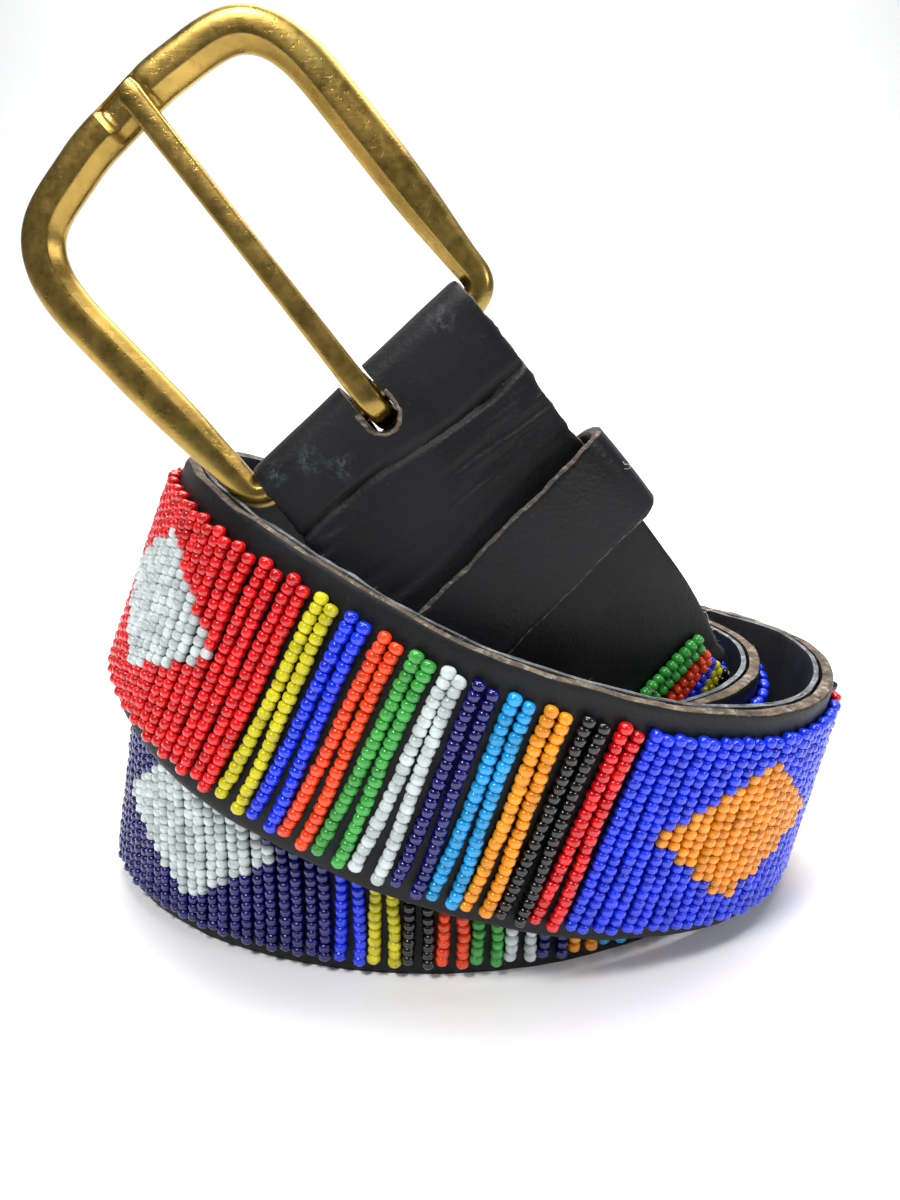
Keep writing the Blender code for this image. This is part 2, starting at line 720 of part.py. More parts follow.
def build_tongue(space, finish):
    """Prong that hooks round the bar and lies on the top of the frame."""
    inner = BAR_RADIUS + BAR_CLEARANCE
    hook_middle = inner + TONGUE_THICKNESS / 2.0
    rail_inner = FRAME_REACH - RAIL_WIDTH
    tip = FRAME_REACH - RAIL_WIDTH * (1.0 - TONGUE_REST_SHARE)
    seat = RAIL_THICKNESS / 2.0 + TONGUE_SEAT_CLEARANCE + TONGUE_THICKNESS / 2.0
    skew = math.tan(math.radians(TONGUE_SKEW_DEG))
    rings = []
    stations = ((tip, 0.80, 0.80), (tip - TONGUE_TIP_TAPER, 1.0, 1.0), (rail_inner * 0.80, 1.0, 1.0),
                (rail_inner * 0.45, 1.0, 1.0), (hook_middle * 2.2, 1.0, 1.0), (hook_middle, 1.0, 1.0))
    for up, wide, thick in stations:
        share = min(1.0, up / rail_inner)
        front = hook_middle + (seat - hook_middle) * share
        section = tongue_section(TONGUE_WIDTH * wide, TONGUE_THICKNESS * thick)
        rings.append([space.vector(a + up * skew, up, front + b) for a, b in section])
    section = tongue_section(TONGUE_WIDTH, TONGUE_THICKNESS)
    for angle in np.linspace(90.0, TONGUE_HOOK_END_DEG, 14):
        turn = math.radians(angle)
        ring = []
        for a, b in section:
            radius = hook_middle + b
            ring.append(space.vector(a, radius * math.cos(turn), radius * math.sin(turn)))
        rings.append(ring)
    vertices, faces = capped_sweep(rings)
    tongue = add_object("tongue", vertices, faces, finish, round_shading=True)
    tongue.location = space.origin
    return tongue


def stand_on_floor(objects):
    """Move everything so that the origin is under the middle of the part, on the floor."""
    bpy.context.view_layer.update()
    corners = [thing.matrix_world @ vertex.co for thing in objects for vertex in thing.data.vertices]
    low = Vector([min(point[k] for point in corners) for k in range(3)])
    high = Vector([max(point[k] for point in corners) for k in range(3)])
    shift = Vector((-(low.x + high.x) / 2.0, -(low.y + high.y) / 2.0, -low.z))
    for thing in objects:
        if thing.location.length > 0.0:
            thing.location += shift
        else:
            thing.data.transform(Matrix.Translation(shift))
    return shift


def main():
    """Build the belt."""
    for old in list(bpy.data.objects):
        bpy.data.objects.remove(old, do_unlink=True)
    face_leather = material("face_leather", (0.020, 0.020, 0.022), 0.55)
    lining_leather = material("lining_leather", (0.045, 0.045, 0.050), 0.50)
    keeper_leather = material("keeper_leather", (0.022, 0.022, 0.024), 0.50)
    frame_brass = material("frame_brass", (0.42, 0.30, 0.10), 0.30, metallic=1.0)
    tongue_brass = material("tongue_brass", (0.45, 0.33, 0.12), 0.28, metallic=1.0)
    bead_finishes = {
        "stripes": material("striped_beads", (0.75, 0.35, 0.05), 0.25),
        "block": material("block_beads", (0.03, 0.06, 0.55), 0.25),
    }
    placer = Placer(Route())
    layers = [build_strap_face(placer, face_leather), build_strap_lining(placer, lining_leather)]
    cutter = punch_holes(placer, layers)
    solids = list(layers)
    solids += build_beadwork(placer, bead_finishes)
    solids.append(build_keeper(placer, keeper_leather))
    space = BuckleSpace(placer)
    solids.append(build_frame(space, frame_brass))
    solids.append(build_tongue(space, tongue_brass))
    stand_on_floor(solids + [cutter])
    print("belt length", round(placer.route.length, 4))


main()
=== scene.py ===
"""Looks of the beaded leather belt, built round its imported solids.

The belt is one ribbon that follows a route, so every piece on it is placed by its distance along
the strap, its distance across the width and its distance out from the middle of the leather.
All sizes are in metres.
"""

import logging
import math
from dataclasses import dataclass, field
from enum import Enum
from typing import Callable, Iterable, Sequence

import bpy
import numpy as np
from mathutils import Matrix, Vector


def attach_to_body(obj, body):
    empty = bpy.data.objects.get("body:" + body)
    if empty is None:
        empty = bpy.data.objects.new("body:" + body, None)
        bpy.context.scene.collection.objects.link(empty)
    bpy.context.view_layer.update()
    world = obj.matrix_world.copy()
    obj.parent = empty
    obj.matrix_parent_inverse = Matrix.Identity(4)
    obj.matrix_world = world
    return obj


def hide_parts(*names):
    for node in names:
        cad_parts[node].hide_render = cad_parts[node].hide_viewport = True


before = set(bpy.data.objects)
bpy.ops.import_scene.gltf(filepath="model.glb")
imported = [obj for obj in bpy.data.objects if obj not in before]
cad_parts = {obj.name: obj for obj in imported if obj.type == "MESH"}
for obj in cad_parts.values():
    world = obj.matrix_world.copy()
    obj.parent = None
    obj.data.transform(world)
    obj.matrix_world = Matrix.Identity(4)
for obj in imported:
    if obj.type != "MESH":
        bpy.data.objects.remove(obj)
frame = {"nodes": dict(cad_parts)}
LOG = logging.getLogger("belt")
SEED = 7
Triple = tuple[float, float, float]
Pairs = tuple[tuple[float, float], ...]
Section = tuple[np.ndarray, np.ndarray, np.ndarray, float]
Faces = list[tuple[int, ...]]
Material = bpy.types.Material
Socket = bpy.types.NodeSocket

# Strap and route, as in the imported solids, but for the slot's two ends, which are nearer here
STRAP_WIDTH = 0.0400
FACE_THICKNESS = 0.0022
LINING_THICKNESS = 0.0011
LAYER_CLEARANCE = 0.0003
STRAP_THICKNESS = FACE_THICKNESS + LAYER_CLEARANCE + LINING_THICKNESS
HALF_WIDTH = STRAP_WIDTH / 2.0
HALF_THICKNESS = STRAP_THICKNESS / 2.0
FACE_MIDDLE = (STRAP_THICKNESS - FACE_THICKNESS) / 2.0
COIL_HALF_LENGTH = 0.0640
COIL_HALF_DEPTH = 0.0495
TURN_SPACING = 0.0062
SAMPLE_STEP = 0.0055 / 4.0
FLOOR_SHIFT = np.array([-0.003222, -0.001148, 0.0])
FOLD_RADIUS = 0.0045
BAR_RADIUS = 0.0019
SLOT_HALF = 0.0023
SLOT_END = 0.0104
BACK_SLOT_END = 0.0094
SEAM_PLACE = 0.0145
TURNED_END = 0.0420
TIP_LENGTH = 0.0180
TIP_END_SHARE = 0.30
BEADS_START = 0.0666
BEAD_MARGIN = 0.0030
PAIR_PITCH = 0.0051
BLOCK_LENGTH = 0.0520
BLOCK_GAP = 0.0004

ROUTE = (
    (-109, 0.785, 1.0, 1.942, -16),
    (-97, 0.818, 1.1, 1.690, -12),
    (-84, 0.852, 1.2, 1.350, -6),
    (-62, 0.878, 1.5, 0.820, 4),
    (-40, 0.920, 1.9, 0.330, 4),
    (-15, 0.932, 2.0, 0.080, 4),
    (15, 0.930, 2.0, 0.000, 2),
    (55, 0.950, 2.0, 0.000, 0),
    (90, 0.962, 2.0, 0.000, 0),
    (130, 1.000, 1.8, 0.000, -3),
    (165, 1.010, 1.3, 0.000, -10),
    (190, 1.015, 1.1, 0.000, -11),
    (225, 1.000, 1.0, 0.000, -3),
    (270, 0.968, 1.0, 0.000, 0),
    (300, 0.948, 1.0, 0.000, 0),
    (330, 0.950, 1.0, 0.000, 4),
    (350, 0.950, 1.0, 0.000, 5),
    (375, 0.970, 1.0, 0.000, 4),
    (415, 0.970, 1.0, 0.120, 0),
    (450, 0.960, 0.9, 0.400, -5),
    (490, 0.990, 0.6, 0.800, -18),
    (510, 0.950, 0.5, 0.920, -22),
    (540, 0.815, 0.2, 0.960, -22),
    (562, 0.830, 0.0, 0.965, -22),
    (581, 0.885, 0.0, 0.920, -20),
    (598, 0.950, 0.0, 0.815, -15),
    (613, 0.965, 0.0, 0.650, -8),
    (630, 0.990, 0.0, 0.440, 2),
    (645, 1.002, 0.0, 0.290, 6),
    (660, 1.005, 0.0, 0.160, 9),
    (675, 1.020, 0.0, 0.080, 10),
    (690, 1.020, 0.0, 0.030, 10),
    (720, 1.015, 0.0, 0.020, 8),
    (750, 1.000, 0.0, 0.000, 4),
    (790, 1.020, 0.0, 0.000, 0),
    (830, 1.100, 0.0, 0.000, 0),
    (868, 1.170, 0.0, 0.000, 0),
)
ROUTE_STEP_DEG = 0.5
ROUTE_SMOOTHING = 120


def linear(red: int, green: int, blue: int) -> Triple:
    """Linear colour of a display colour given in steps of 255."""
    return tuple((c / 255.0) ** 2.2 for c in (red, green, blue))


class Bead(Enum):
    """Colours of the opaque glass beads."""

    YELLOW = linear(204, 194, 0)
    BLUE = linear(18, 52, 226)
    ORANGE = linear(238, 66, 6)
    GREEN = linear(56, 156, 62)
    WHITE = linear(198, 208, 208)
    NAVY = linear(12, 6, 96)
    SKY = linear(22, 150, 214)
    AMBER = linear(240, 148, 0)
    BLACK = linear(8, 8, 10)
    RED = linear(212, 4, 16)


@dataclass(frozen=True)
class Block:
    """Block of one ground colour with a diamond of another."""

    ground: Bead
    diamond: Bead
    half_columns: float = 8.6
    half_beads: float = 8.4
    brick: float = 0.48


LONG_RUN = (Bead.YELLOW, Bead.BLUE, Bead.ORANGE, Bead.GREEN, Bead.WHITE,
            Bead.NAVY, Bead.SKY, Bead.AMBER, Bead.BLACK, Bead.RED)
LOW_RUN = (Bead.BLUE, Bead.YELLOW, Bead.BLACK, Bead.ORANGE, Bead.GREEN,
           Bead.WHITE, Bead.NAVY, Bead.AMBER, Bead.SKY, Bead.RED)
NAVY_BLOCK = Block(Bead.NAVY, Bead.WHITE, brick=0.36)
RED_BLOCK = Block(Bead.RED, Bead.WHITE, 8.6, 7.6)
BLUE_BLOCK = Block(Bead.BLUE, Bead.AMBER, 8.1, 8.1, 0.22)
PATTERN = (
    (Bead.GREEN, Bead.ORANGE, Bead.BLUE, Bead.YELLOW, Bead.BLACK, Bead.WHITE),
    BLUE_BLOCK,
    (Bead.WHITE, Bead.NAVY, Bead.SKY, Bead.AMBER, Bead.BLACK, Bead.RED),
    RED_BLOCK,
    (Bead.GREEN, Bead.AMBER, Bead.RED, Bead.BLUE, Bead.YELLOW),
    NAVY_BLOCK,
    LOW_RUN,
    BLUE_BLOCK,
    LONG_RUN,
    NAVY_BLOCK,
    LOW_RUN,
    RED_BLOCK,
    LONG_RUN,
    BLUE_BLOCK,
    (Bead.RED, Bead.BLACK, Bead.AMBER, Bead.SKY, Bead.NAVY, Bead.WHITE),
)


def monotone_curve(xs: np.ndarray, ys: np.ndarray, x: np.ndarray) -> np.ndarray:
    """Smooth curve through rows that doesn't overshoot them.

    Args:
        xs: Places of the rows.
        ys: Values of the rows.
        x: Places to read the curve at.

    Returns:
        The curve's values.
    """
    widths = np.diff(xs)
    slopes = np.diff(ys) / widths
    tangents = np.zeros(len(ys))
    tangents[0] = slopes[0]
    tangents[-1] = slopes[-1]
    for i in range(1, len(xs) - 1):
        if slopes[i - 1] * slopes[i] > 0.0:
            before = 2.0 * widths[i] + widths[i - 1]
            after = widths[i] + 2.0 * widths[i - 1]
            tangents[i] = (before + after) / (before / slopes[i - 1] + after / slopes[i])
    row = np.clip(np.searchsorted(xs, x) - 1, 0, len(xs) - 2)
    t = (x - xs[row]) / widths[row]
    start = (2 * t**3 - 3 * t**2 + 1) * ys[row] + (t**3 - 2 * t**2 + t) * widths[row] * tangents[row]
    end = (3 * t**2 - 2 * t**3) * ys[row + 1] + (t**3 - t**2) * widths[row] * tangents[row + 1]
    return start + end


def smoothed(values: np.ndarray, passes: int) -> np.ndarray:
    """Values with each one averaged with its neighbours, several times over.

    Args:
        values: Values in order.
        passes: How often they are averaged.

    Returns:
        The smoothed values.
    """
    out = values.copy()
    for _ in range(passes):
        out[1:-1] = (out[:-2] + 2.0 * out[1:-1] + out[2:]) / 4.0
    return out


def unit(rows: np.ndarray) -> np.ndarray:
    """Rows scaled to a length of one."""
    return rows / np.linalg.norm(rows, axis=-1, keepdims=True)


def eased(share: np.ndarray | float) -> np.ndarray | float:
    """Share between 0 and 1 with a soft start and a soft end."""
    share = np.clip(share, 0.0, 1.0)
    return share * share * (3.0 - 2.0 * share)


class Route:
    """Centre line of the strap with its direction, width and outward vectors."""

    def __init__(self) -> None:
        """Work the route out from its table of stations."""
        table = np.array(ROUTE, dtype=float)
        turn = np.arange(table[0, 0], table[-1, 0] + ROUTE_STEP_DEG / 2.0, ROUTE_STEP_DEG)
        reach, inset, rise, lean = (
            smoothed(monotone_curve(table[:, 0], table[:, k], turn), ROUTE_SMOOTHING) for k in (1, 2, 3, 4))
        angle = np.radians(turn)
        normal = np.stack([np.cos(angle) / COIL_HALF_LENGTH, np.sin(angle) / COIL_HALF_DEPTH], axis=1)
        normal = unit(normal) * (inset * TURN_SPACING)[:, None]
        points = np.stack([COIL_HALF_LENGTH * reach * np.cos(angle) - normal[:, 0],
                           COIL_HALF_DEPTH * reach * np.sin(angle) - normal[:, 1],
                           rise * STRAP_WIDTH], axis=1)
        step = np.gradient(points, axis=0)
        slope = np.arctan2(step[:, 2], np.hypot(step[:, 0], step[:, 1]))
        lean = np.radians(lean)
        points[:, 2] += 0.5 * STRAP_WIDTH * np.cos(slope) * np.cos(lean)
        points[:, 2] += 0.5 * STRAP_THICKNESS * np.abs(np.sin(lean))
        lengths = np.linalg.norm(np.diff(points, axis=0), axis=1)
        along = np.concatenate([[0.0], np.cumsum(lengths)])
        self.length = float(along[-1])
        count = int(round(self.length / SAMPLE_STEP))
        self.along = np.linspace(0.0, self.length, count + 1)
        self.points = np.stack([np.interp(self.along, along, points[:, k]) for k in range(3)], axis=1)
        self.lean = np.interp(self.along, along, lean)
        self.set_vectors()

    def set_vectors(self) -> None:
        """Find the direction, width and outward vectors at each point."""
        direction = unit(np.gradient(self.points, axis=0))
        outward = unit(np.stack([direction[:, 1], -direction[:, 0], np.zeros(len(direction))], axis=1))
        upright = np.cross(direction, -outward)
        cosine = np.cos(self.lean)[:, None]
        sine = np.sin(self.lean)[:, None]
        self.direction = direction
        self.width = upright * cosine + outward * sine

    def at(self, along: np.ndarray) -> tuple[np.ndarray, np.ndarray, np.ndarray, np.ndarray]:
        """Centre points and vectors at distances along the route.

        Args:
            along: Distances from the fold.

        Returns:
            Points, directions, widths and outward vectors, one row each.
        """
        along = np.atleast_1d(np.asarray(along, dtype=float))
        point, direction, width = (
            np.stack([np.interp(along, self.along, rows[:, k]) for k in range(3)], axis=1)
            for rows in (self.points, self.direction, self.width))
        direction = unit(direction)
        width = unit(width - direction * np.sum(width * direction, axis=1, keepdims=True))
        return point + FLOOR_SHIFT, direction, width, np.cross(direction, width)

    def single(self, along: float) -> tuple[np.ndarray, ...]:
        """Centre point and vectors at one distance along the route."""
        return tuple(rows[0] for rows in self.at(along))

    def place(self, along: np.ndarray, across: np.ndarray, out: np.ndarray) -> np.ndarray:
        """Points at distances along, across and out from the strap's middle.

        Args:
            along: Distances from the fold.
            across: Distances from the middle of the width.
            out: Distances from the middle of the leather.

        Returns:
            One row for each point.
        """
        point, _, width, outward = self.at(along)
        across = np.broadcast_to(np.asarray(across, dtype=float), len(point))[:, None]
        out = np.broadcast_to(np.asarray(out, dtype=float), len(point))[:, None]
        return point + width * across + outward * out


class Shader:
    """Short way to build a material's nodes."""

    def __init__(self, name: str) -> None:
        """Start a material with a principled shader.

        Args:
            name: Name of the material.
        """
        self.material = bpy.data.materials.new(name)
        self.material.use_nodes = True
        self.tree = self.material.node_tree
        self.surface = self.tree.nodes["Principled BSDF"]
        self.position = self.add("ShaderNodeTexCoord").outputs["Object"]

    def add(self, kind: str, **inputs: object) -> bpy.types.Node:
        """Add a node; keywords set or link its inputs, with _ for a space in a name.

        Args:
            kind: Type of the node.
            inputs: Values or sockets by input name.

        Returns:
            The new node.
        """
        node = self.tree.nodes.new(kind)
        for name, value in inputs.items():
            self.feed(node, name.replace("_", " "), value)
        return node

    def feed(self, node: bpy.types.Node, name: str | int, value: object) -> None:
        """Set a socket to a value, or link another node's output to it.

        Args:
            node: Node that is fed.
            name: Name or number of its input.
            value: Value, colour or socket.
        """
        socket = node.inputs[name]
        if isinstance(value, Socket):
            self.tree.links.new(value, socket)
        elif isinstance(value, tuple) and len(value) == 3 and socket.type == "RGBA":
            socket.default_value = (*value, 1.0)
        else:
            socket.default_value = value

    def noise(self, scale: float, detail: float = 4.0, rough: float = 0.55,
              stretch: Triple | None = None) -> Socket:
        """Noise between 0 and 1 in object space, optionally stretched.

        Args:
            scale: Scale of the noise.
            detail: Its detail.
            rough: Its roughness.
            stretch: Scale of space along each axis.

        Returns:
            Socket of the noise.
        """
        source = self.position
        if stretch:
            source = self.add("ShaderNodeMapping", Vector=source, Scale=stretch).outputs[0]
        return self.add("ShaderNodeTexNoise", Vector=source, Scale=scale, Detail=detail,
                        Roughness=rough).outputs["Fac"]

    def ramp(self, source: Socket, low: float, high: float,
             to_low: float = 0.0, to_high: float = 1.0) -> Socket:
        """Map a stretch of the source's values to a new stretch, clamped.

        Args:
            source: Socket that is mapped.
            low: Start of its stretch.
            high: End of its stretch.
            to_low: Start of the new stretch.
            to_high: End of the new stretch.

        Returns:
            Socket of the result.
        """
        node = self.add("ShaderNodeMapRange", Value=source)
        for name, value in zip(("From Min", "From Max", "To Min", "To Max"), (low, high, to_low, to_high)):
            node.inputs[name].default_value = value
        return node.outputs[0]

    def mix(self, factor: object, first: object, second: object) -> Socket:
        """Blend of two colours.

        Args:
            factor: Share of the second colour.
            first: First colour.
            second: Second colour.

        Returns:
            Socket of the blend.
        """
        node = self.tree.nodes.new("ShaderNodeMix")
        node.data_type = "RGBA"
        for index, value in ((0, factor), (6, first), (7, second)):
            self.feed(node, index, value)
        return node.outputs[2]

    def math(self, operation: str, first: object, second: object = 0.0) -> Socket:
        """Result of an arithmetic node.

        Args:
            operation: Name of the operation.
            first: First value.
            second: Second value.

        Returns:
            Socket of the result.
        """
        node = self.tree.nodes.new("ShaderNodeMath")
        node.operation = operation
        self.feed(node, 0, first)
        self.feed(node, 1, second)
        return node.outputs[0]

    def bump(self, height: Socket, distance: float, strength: float = 1.0,
             below: Socket | None = None) -> Socket:
        """Normal that follows a height.

        Args:
            height: Socket of the height.
            distance: Height of a full step.
            strength: Share of the bump.
            below: Normal that it is laid on.

        Returns:
            Socket of the normal.
        """
        node = self.add("ShaderNodeBump", Height=height, Distance=distance, Strength=strength)
        if below is not None:
            self.feed(node, "Normal", below)
        return node.outputs[0]

    def finish(self, **inputs: object) -> Material:
        """Feed the principled shader and return the material.

        Args:
            inputs: Values or sockets by input name.

        Returns:
            The material.
        """
        for name, value in inputs.items():
            self.feed(self.surface, name.replace("_", " "), value)
        return self.material


@dataclass(frozen=True)
class GrainLeather:
    """Black dyed leather with a fine grain, faint creases and pale scuffs."""

    name: str
    dark: Triple = (0.0026, 0.0027, 0.0036)
    light: Triple = (0.0085, 0.0087, 0.0108)
    rough_low: float = 0.44
    rough_high: float = 0.62
    grain: float = 0.00006
    scuffs: tuple[Triple, ...] = ()
    scuff_radius: float = 0.0027

    def material(self) -> Material:
        """Build the material.

        Returns:
            The finished material.
        """
        made = Shader(self.name)
        cloudy = made.noise(60.0, 5.0)
        pores = made.add("ShaderNodeTexVoronoi", Vector=made.position, Scale=1700.0).outputs["Distance"]
        fine = made.noise(2600.0, 2.0)
        fold = made.noise(240.0, 5.0, 0.6, (1.0, 1.0, 0.45))
        colour = made.mix(made.ramp(cloudy, 0.35, 0.70), self.dark, self.light)
        dust = made.ramp(made.noise(900.0, 3.0), 0.66, 0.74, 0.0, 0.35)
        colour = made.mix(dust, colour, (0.030, 0.030, 0.029))
        worn = None
        for spot in self.scuffs:
            apart = made.add("ShaderNodeVectorMath", Vector=made.position)
            apart.operation = "DISTANCE"
            apart.inputs[1].default_value = spot
            near = made.ramp(apart.outputs["Value"], 0.0, self.scuff_radius, 1.0, 0.0)
            worn = near if worn is None else made.math("MAXIMUM", worn, near)
        if worn is not None:
            flecks = made.ramp(made.noise(700.0, 6.0, 0.75), 0.48, 0.68)
            colour = made.mix(made.math("MULTIPLY", worn, flecks), colour, (0.085, 0.095, 0.105))
        height = made.math("ADD", made.math("MULTIPLY", pores, 0.8), made.math("MULTIPLY", fine, 0.4))
        normal = made.bump(fold, 0.00022, 0.6)
        normal = made.bump(height, self.grain, 0.8, normal)
        return made.finish(Base_Color=colour, Normal=normal, Specular_IOR_Level=0.26,
                           Roughness=made.ramp(cloudy, 0.3, 0.7, self.rough_low, self.rough_high))


@dataclass(frozen=True)
class RawEdge:
    """Cut edge of leather, with fibres in browns and greys, and painted shade in the bottoms of its pits."""

    name: str
    dark: Triple
    middle: Triple
    light: Triple
    stretch: Triple = (0.35, 0.35, 1.6)

    def material(self) -> Material:
        """Build the material.

        Returns:
            The finished material.
        """
        made = Shader(self.name)
        broad = made.noise(170.0, 6.0, 0.65)
        fibres = made.noise(900.0, 6.0, 0.7, self.stretch)
        pits = made.add("ShaderNodeTexVoronoi", Vector=made.position, Scale=1400.0).outputs["Distance"]
        colour = made.mix(made.ramp(broad, 0.36, 0.62), self.dark, self.middle)
        colour = made.mix(made.ramp(fibres, 0.50, 0.72), colour, self.light)
        # Painted shade: the colour darkens towards the dark tone in the bottoms of the pits that the bump
        # below sinks
        colour = made.mix(made.ramp(pits, 0.05, 0.25, 0.55, 0.0), colour, self.dark)
        normal = made.bump(fibres, 0.0004, 0.9)
        normal = made.bump(pits, 0.0002, 0.6, normal)
        return made.finish(Base_Color=colour, Normal=normal, Roughness=0.88, Specular_IOR_Level=0.2)


@dataclass(frozen=True)
class BeadGlass:
    """Opaque glossy glass in one colour, a little uneven from bead to bead."""

    name: str
    colour: Triple
    specks: float = 0.0

    def material(self) -> Material:
        """Build the material.

        Returns:
            The finished material.
        """
        made = Shader(self.name)
        shade = made.noise(430.0, 1.0, 0.4)
        darker = tuple(c * 0.72 for c in self.colour)
        lighter = tuple(min(1.0, c * 1.12 + 0.004) for c in self.colour)
        colour = made.mix(made.ramp(shade, 0.34, 0.66), darker, lighter)
        if self.specks > 0.0:
            specks = made.ramp(made.noise(1500.0, 2.0, 0.5), 0.70, 0.74, 0.0, self.specks)
            patch = made.ramp(made.noise(150.0, 2.0, 0.5), 0.56, 0.66)
            colour = made.mix(made.math("MULTIPLY", specks, patch), colour, (0.02, 0.015, 0.02))
        ripple = made.noise(900.0, 2.0, 0.5)
        return made.finish(Base_Color=colour, Normal=made.bump(ripple, 0.00004, 0.5),
                           Roughness=made.ramp(shade, 0.3, 0.7, 0.16, 0.27), IOR=1.52,
                           Specular_IOR_Level=0.45, Coat_Weight=0.35, Coat_Roughness=0.05)


@dataclass(frozen=True)
class OldBrass:
    """Cast brass, darkened in patches and rubbed bright."""

    name: str
    bright: Triple = (0.44, 0.285, 0.072)
    dull: Triple = (0.26, 0.170, 0.042)
    stain: Triple = (0.15, 0.095, 0.028)
    green: Triple = (0.13, 0.16, 0.045)

    def material(self) -> Material:
        """Build the material.

        Returns:
            The finished material.
        """
        made = Shader(self.name)
        patch = made.noise(85.0, 5.0, 0.6)
        mottle = made.noise(420.0, 5.0, 0.65)
        colour = made.mix(made.ramp(patch, 0.36, 0.64), self.dull, self.bright)
        colour = made.mix(made.ramp(mottle, 0.58, 0.78, 0.0, 0.55), colour, self.stain)
        colour = made.mix(made.ramp(made.noise(38.0, 2.0), 0.50, 0.66, 0.0, 0.45), colour, self.green)
        pits = made.ramp(made.noise(1300.0, 3.0, 0.6), 0.30, 0.42, 0.0, 1.0)
        scratches = made.noise(700.0, 2.0, 0.5, (0.25, 1.0, 3.0))
        normal = made.bump(made.noise(120.0, 2.0), 0.00020, 0.35)
        normal = made.bump(pits, 0.00004, 0.35, normal)
        normal = made.bump(scratches, 0.00003, 0.4, normal)
        return made.finish(Base_Color=colour, Metallic=1.0, Normal=normal,
                           Roughness=made.ramp(mottle, 0.35, 0.70, 0.24, 0.40))


@dataclass(frozen=True)
class Yarn:
    """Dull thread or leather fibre."""

    name: str
    colour: Triple

    def material(self) -> Material:
        """Build the material.

        Returns:
            The finished material.
        """
        made = Shader(self.name)
        twist = made.noise(2200.0, 2.0)
        colour = made.mix(made.ramp(twist, 0.35, 0.65), tuple(c * 0.6 for c in self.colour), self.colour)
        return made.finish(Base_Color=colour, Roughness=0.85, Normal=made.bump(twist, 0.00005, 0.6))


def linked(name: str, data: bpy.types.ID) -> bpy.types.Object:
    """New object in the scene that holds the data.

    Args:
        name: Name of the object.
        data: Mesh, light or camera.

    Returns:
        The new object.
    """
    thing = bpy.data.objects.new(name, data)
    bpy.context.scene.collection.objects.link(thing)
    return thing


def new_object(name: str, vertices: np.ndarray, faces: Sequence[Sequence[int]],
               materials: Sequence[Material], indices: Iterable[int] | None = None,
               smooth: bool = True, sharp_deg: float | None = None) -> bpy.types.Object:
    """Make a mesh object.

    Args:
        name: Name of the object.
        vertices: One row for each vertex.
        faces: Vertex numbers of each face.
        materials: Materials of the object's slots.
        indices: Slot number of each face.
        smooth: Whether the faces are shaded smooth.
        sharp_deg: Edges bent further than this stay sharp.

    Returns:
        The new object.
    """
    mesh = bpy.data.meshes.new(name)
    mesh.from_pydata([tuple(v) for v in vertices], [], [tuple(f) for f in faces])
    for material in materials:
        mesh.materials.append(material)
    if indices is not None:
        mesh.polygons.foreach_set("material_index", list(indices))
    if smooth:
        mesh.shade_smooth()
        if sharp_deg is not None:
            mesh.set_sharp_from_angle(angle=math.radians(sharp_deg))
    mesh.update()
    return linked(name, mesh)


def attach(piece: bpy.types.Object, body: str, nodes: Sequence[str] = ()) -> None:
    """Ride a piece on its body and hide the solids it stands for.

    Args:
        piece: Object that has been built.
        body: Body that it rides on.
        nodes: Solids that it stands for.
    """
    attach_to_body(piece, body)
    if nodes:
        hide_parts(*nodes)
    LOG.info("%s: %d faces on %s", piece.name, len(piece.data.polygons), body)


def loop_faces(rings: int, size: int, closed: bool) -> Faces:
    """Faces of a run of rings, joined end to end or capped.

    Args:
        rings: Count of rings.
        size: Points in each ring.
        closed: Whether the last ring joins the first.

    Returns:
        Vertex numbers of each face.
    """
    faces = []
    for i in range(rings if closed else rings - 1):
        after = (i + 1) % rings
        for j in range(size):
            k = (j + 1) % size
            faces.append((i * size + j, i * size + k, after * size + k, after * size + j))
    if not closed:
        faces.append(tuple(reversed(range(size))))
        faces.append(tuple((rings - 1) * size + j for j in range(size)))
    return faces


def outward_faces(vertices: np.ndarray, faces: Faces) -> Faces:
    """Faces turned so that a closed mesh's volume is positive.

    Args:
        vertices: One row for each vertex.
        faces: Vertex numbers of each face.

    Returns:
        The faces, reversed where they faced inwards.
    """
    volume = 0.0
    for face in faces:
        a = vertices[face[0]]
        for i in range(1, len(face) - 1):
            volume += float(np.dot(a, np.cross(vertices[face[i]], vertices[face[i + 1]])))
    return [tuple(reversed(face)) for face in faces] if volume < 0.0 else faces


def tube(points: np.ndarray, radius: float, sides: int = 5,
         end: float = 0.45) -> tuple[np.ndarray, Faces]:
    """Thin tube along a run of points.

    Args:
        points: Middle line of the tube.
        radius: Radius at its start.
        sides: Number of sides.
        end: Share of the radius left at its end.

    Returns:
        Vertices and faces.
    """
    direction = unit(np.gradient(points, axis=0))
    first = unit(np.cross(direction, np.array([0.31, 0.52, 0.79])))
    second = np.cross(direction, first)
    turn = np.linspace(0.0, 2.0 * math.pi, sides, endpoint=False)
    taper = np.linspace(1.0, end, len(points))[:, None, None] * radius
    ring = first[:, None] * np.cos(turn)[None, :, None] + second[:, None] * np.sin(turn)[None, :, None]
    vertices = (points[:, None] + ring * taper).reshape(-1, 3)
    return vertices, outward_faces(vertices, loop_faces(len(points), sides, False))


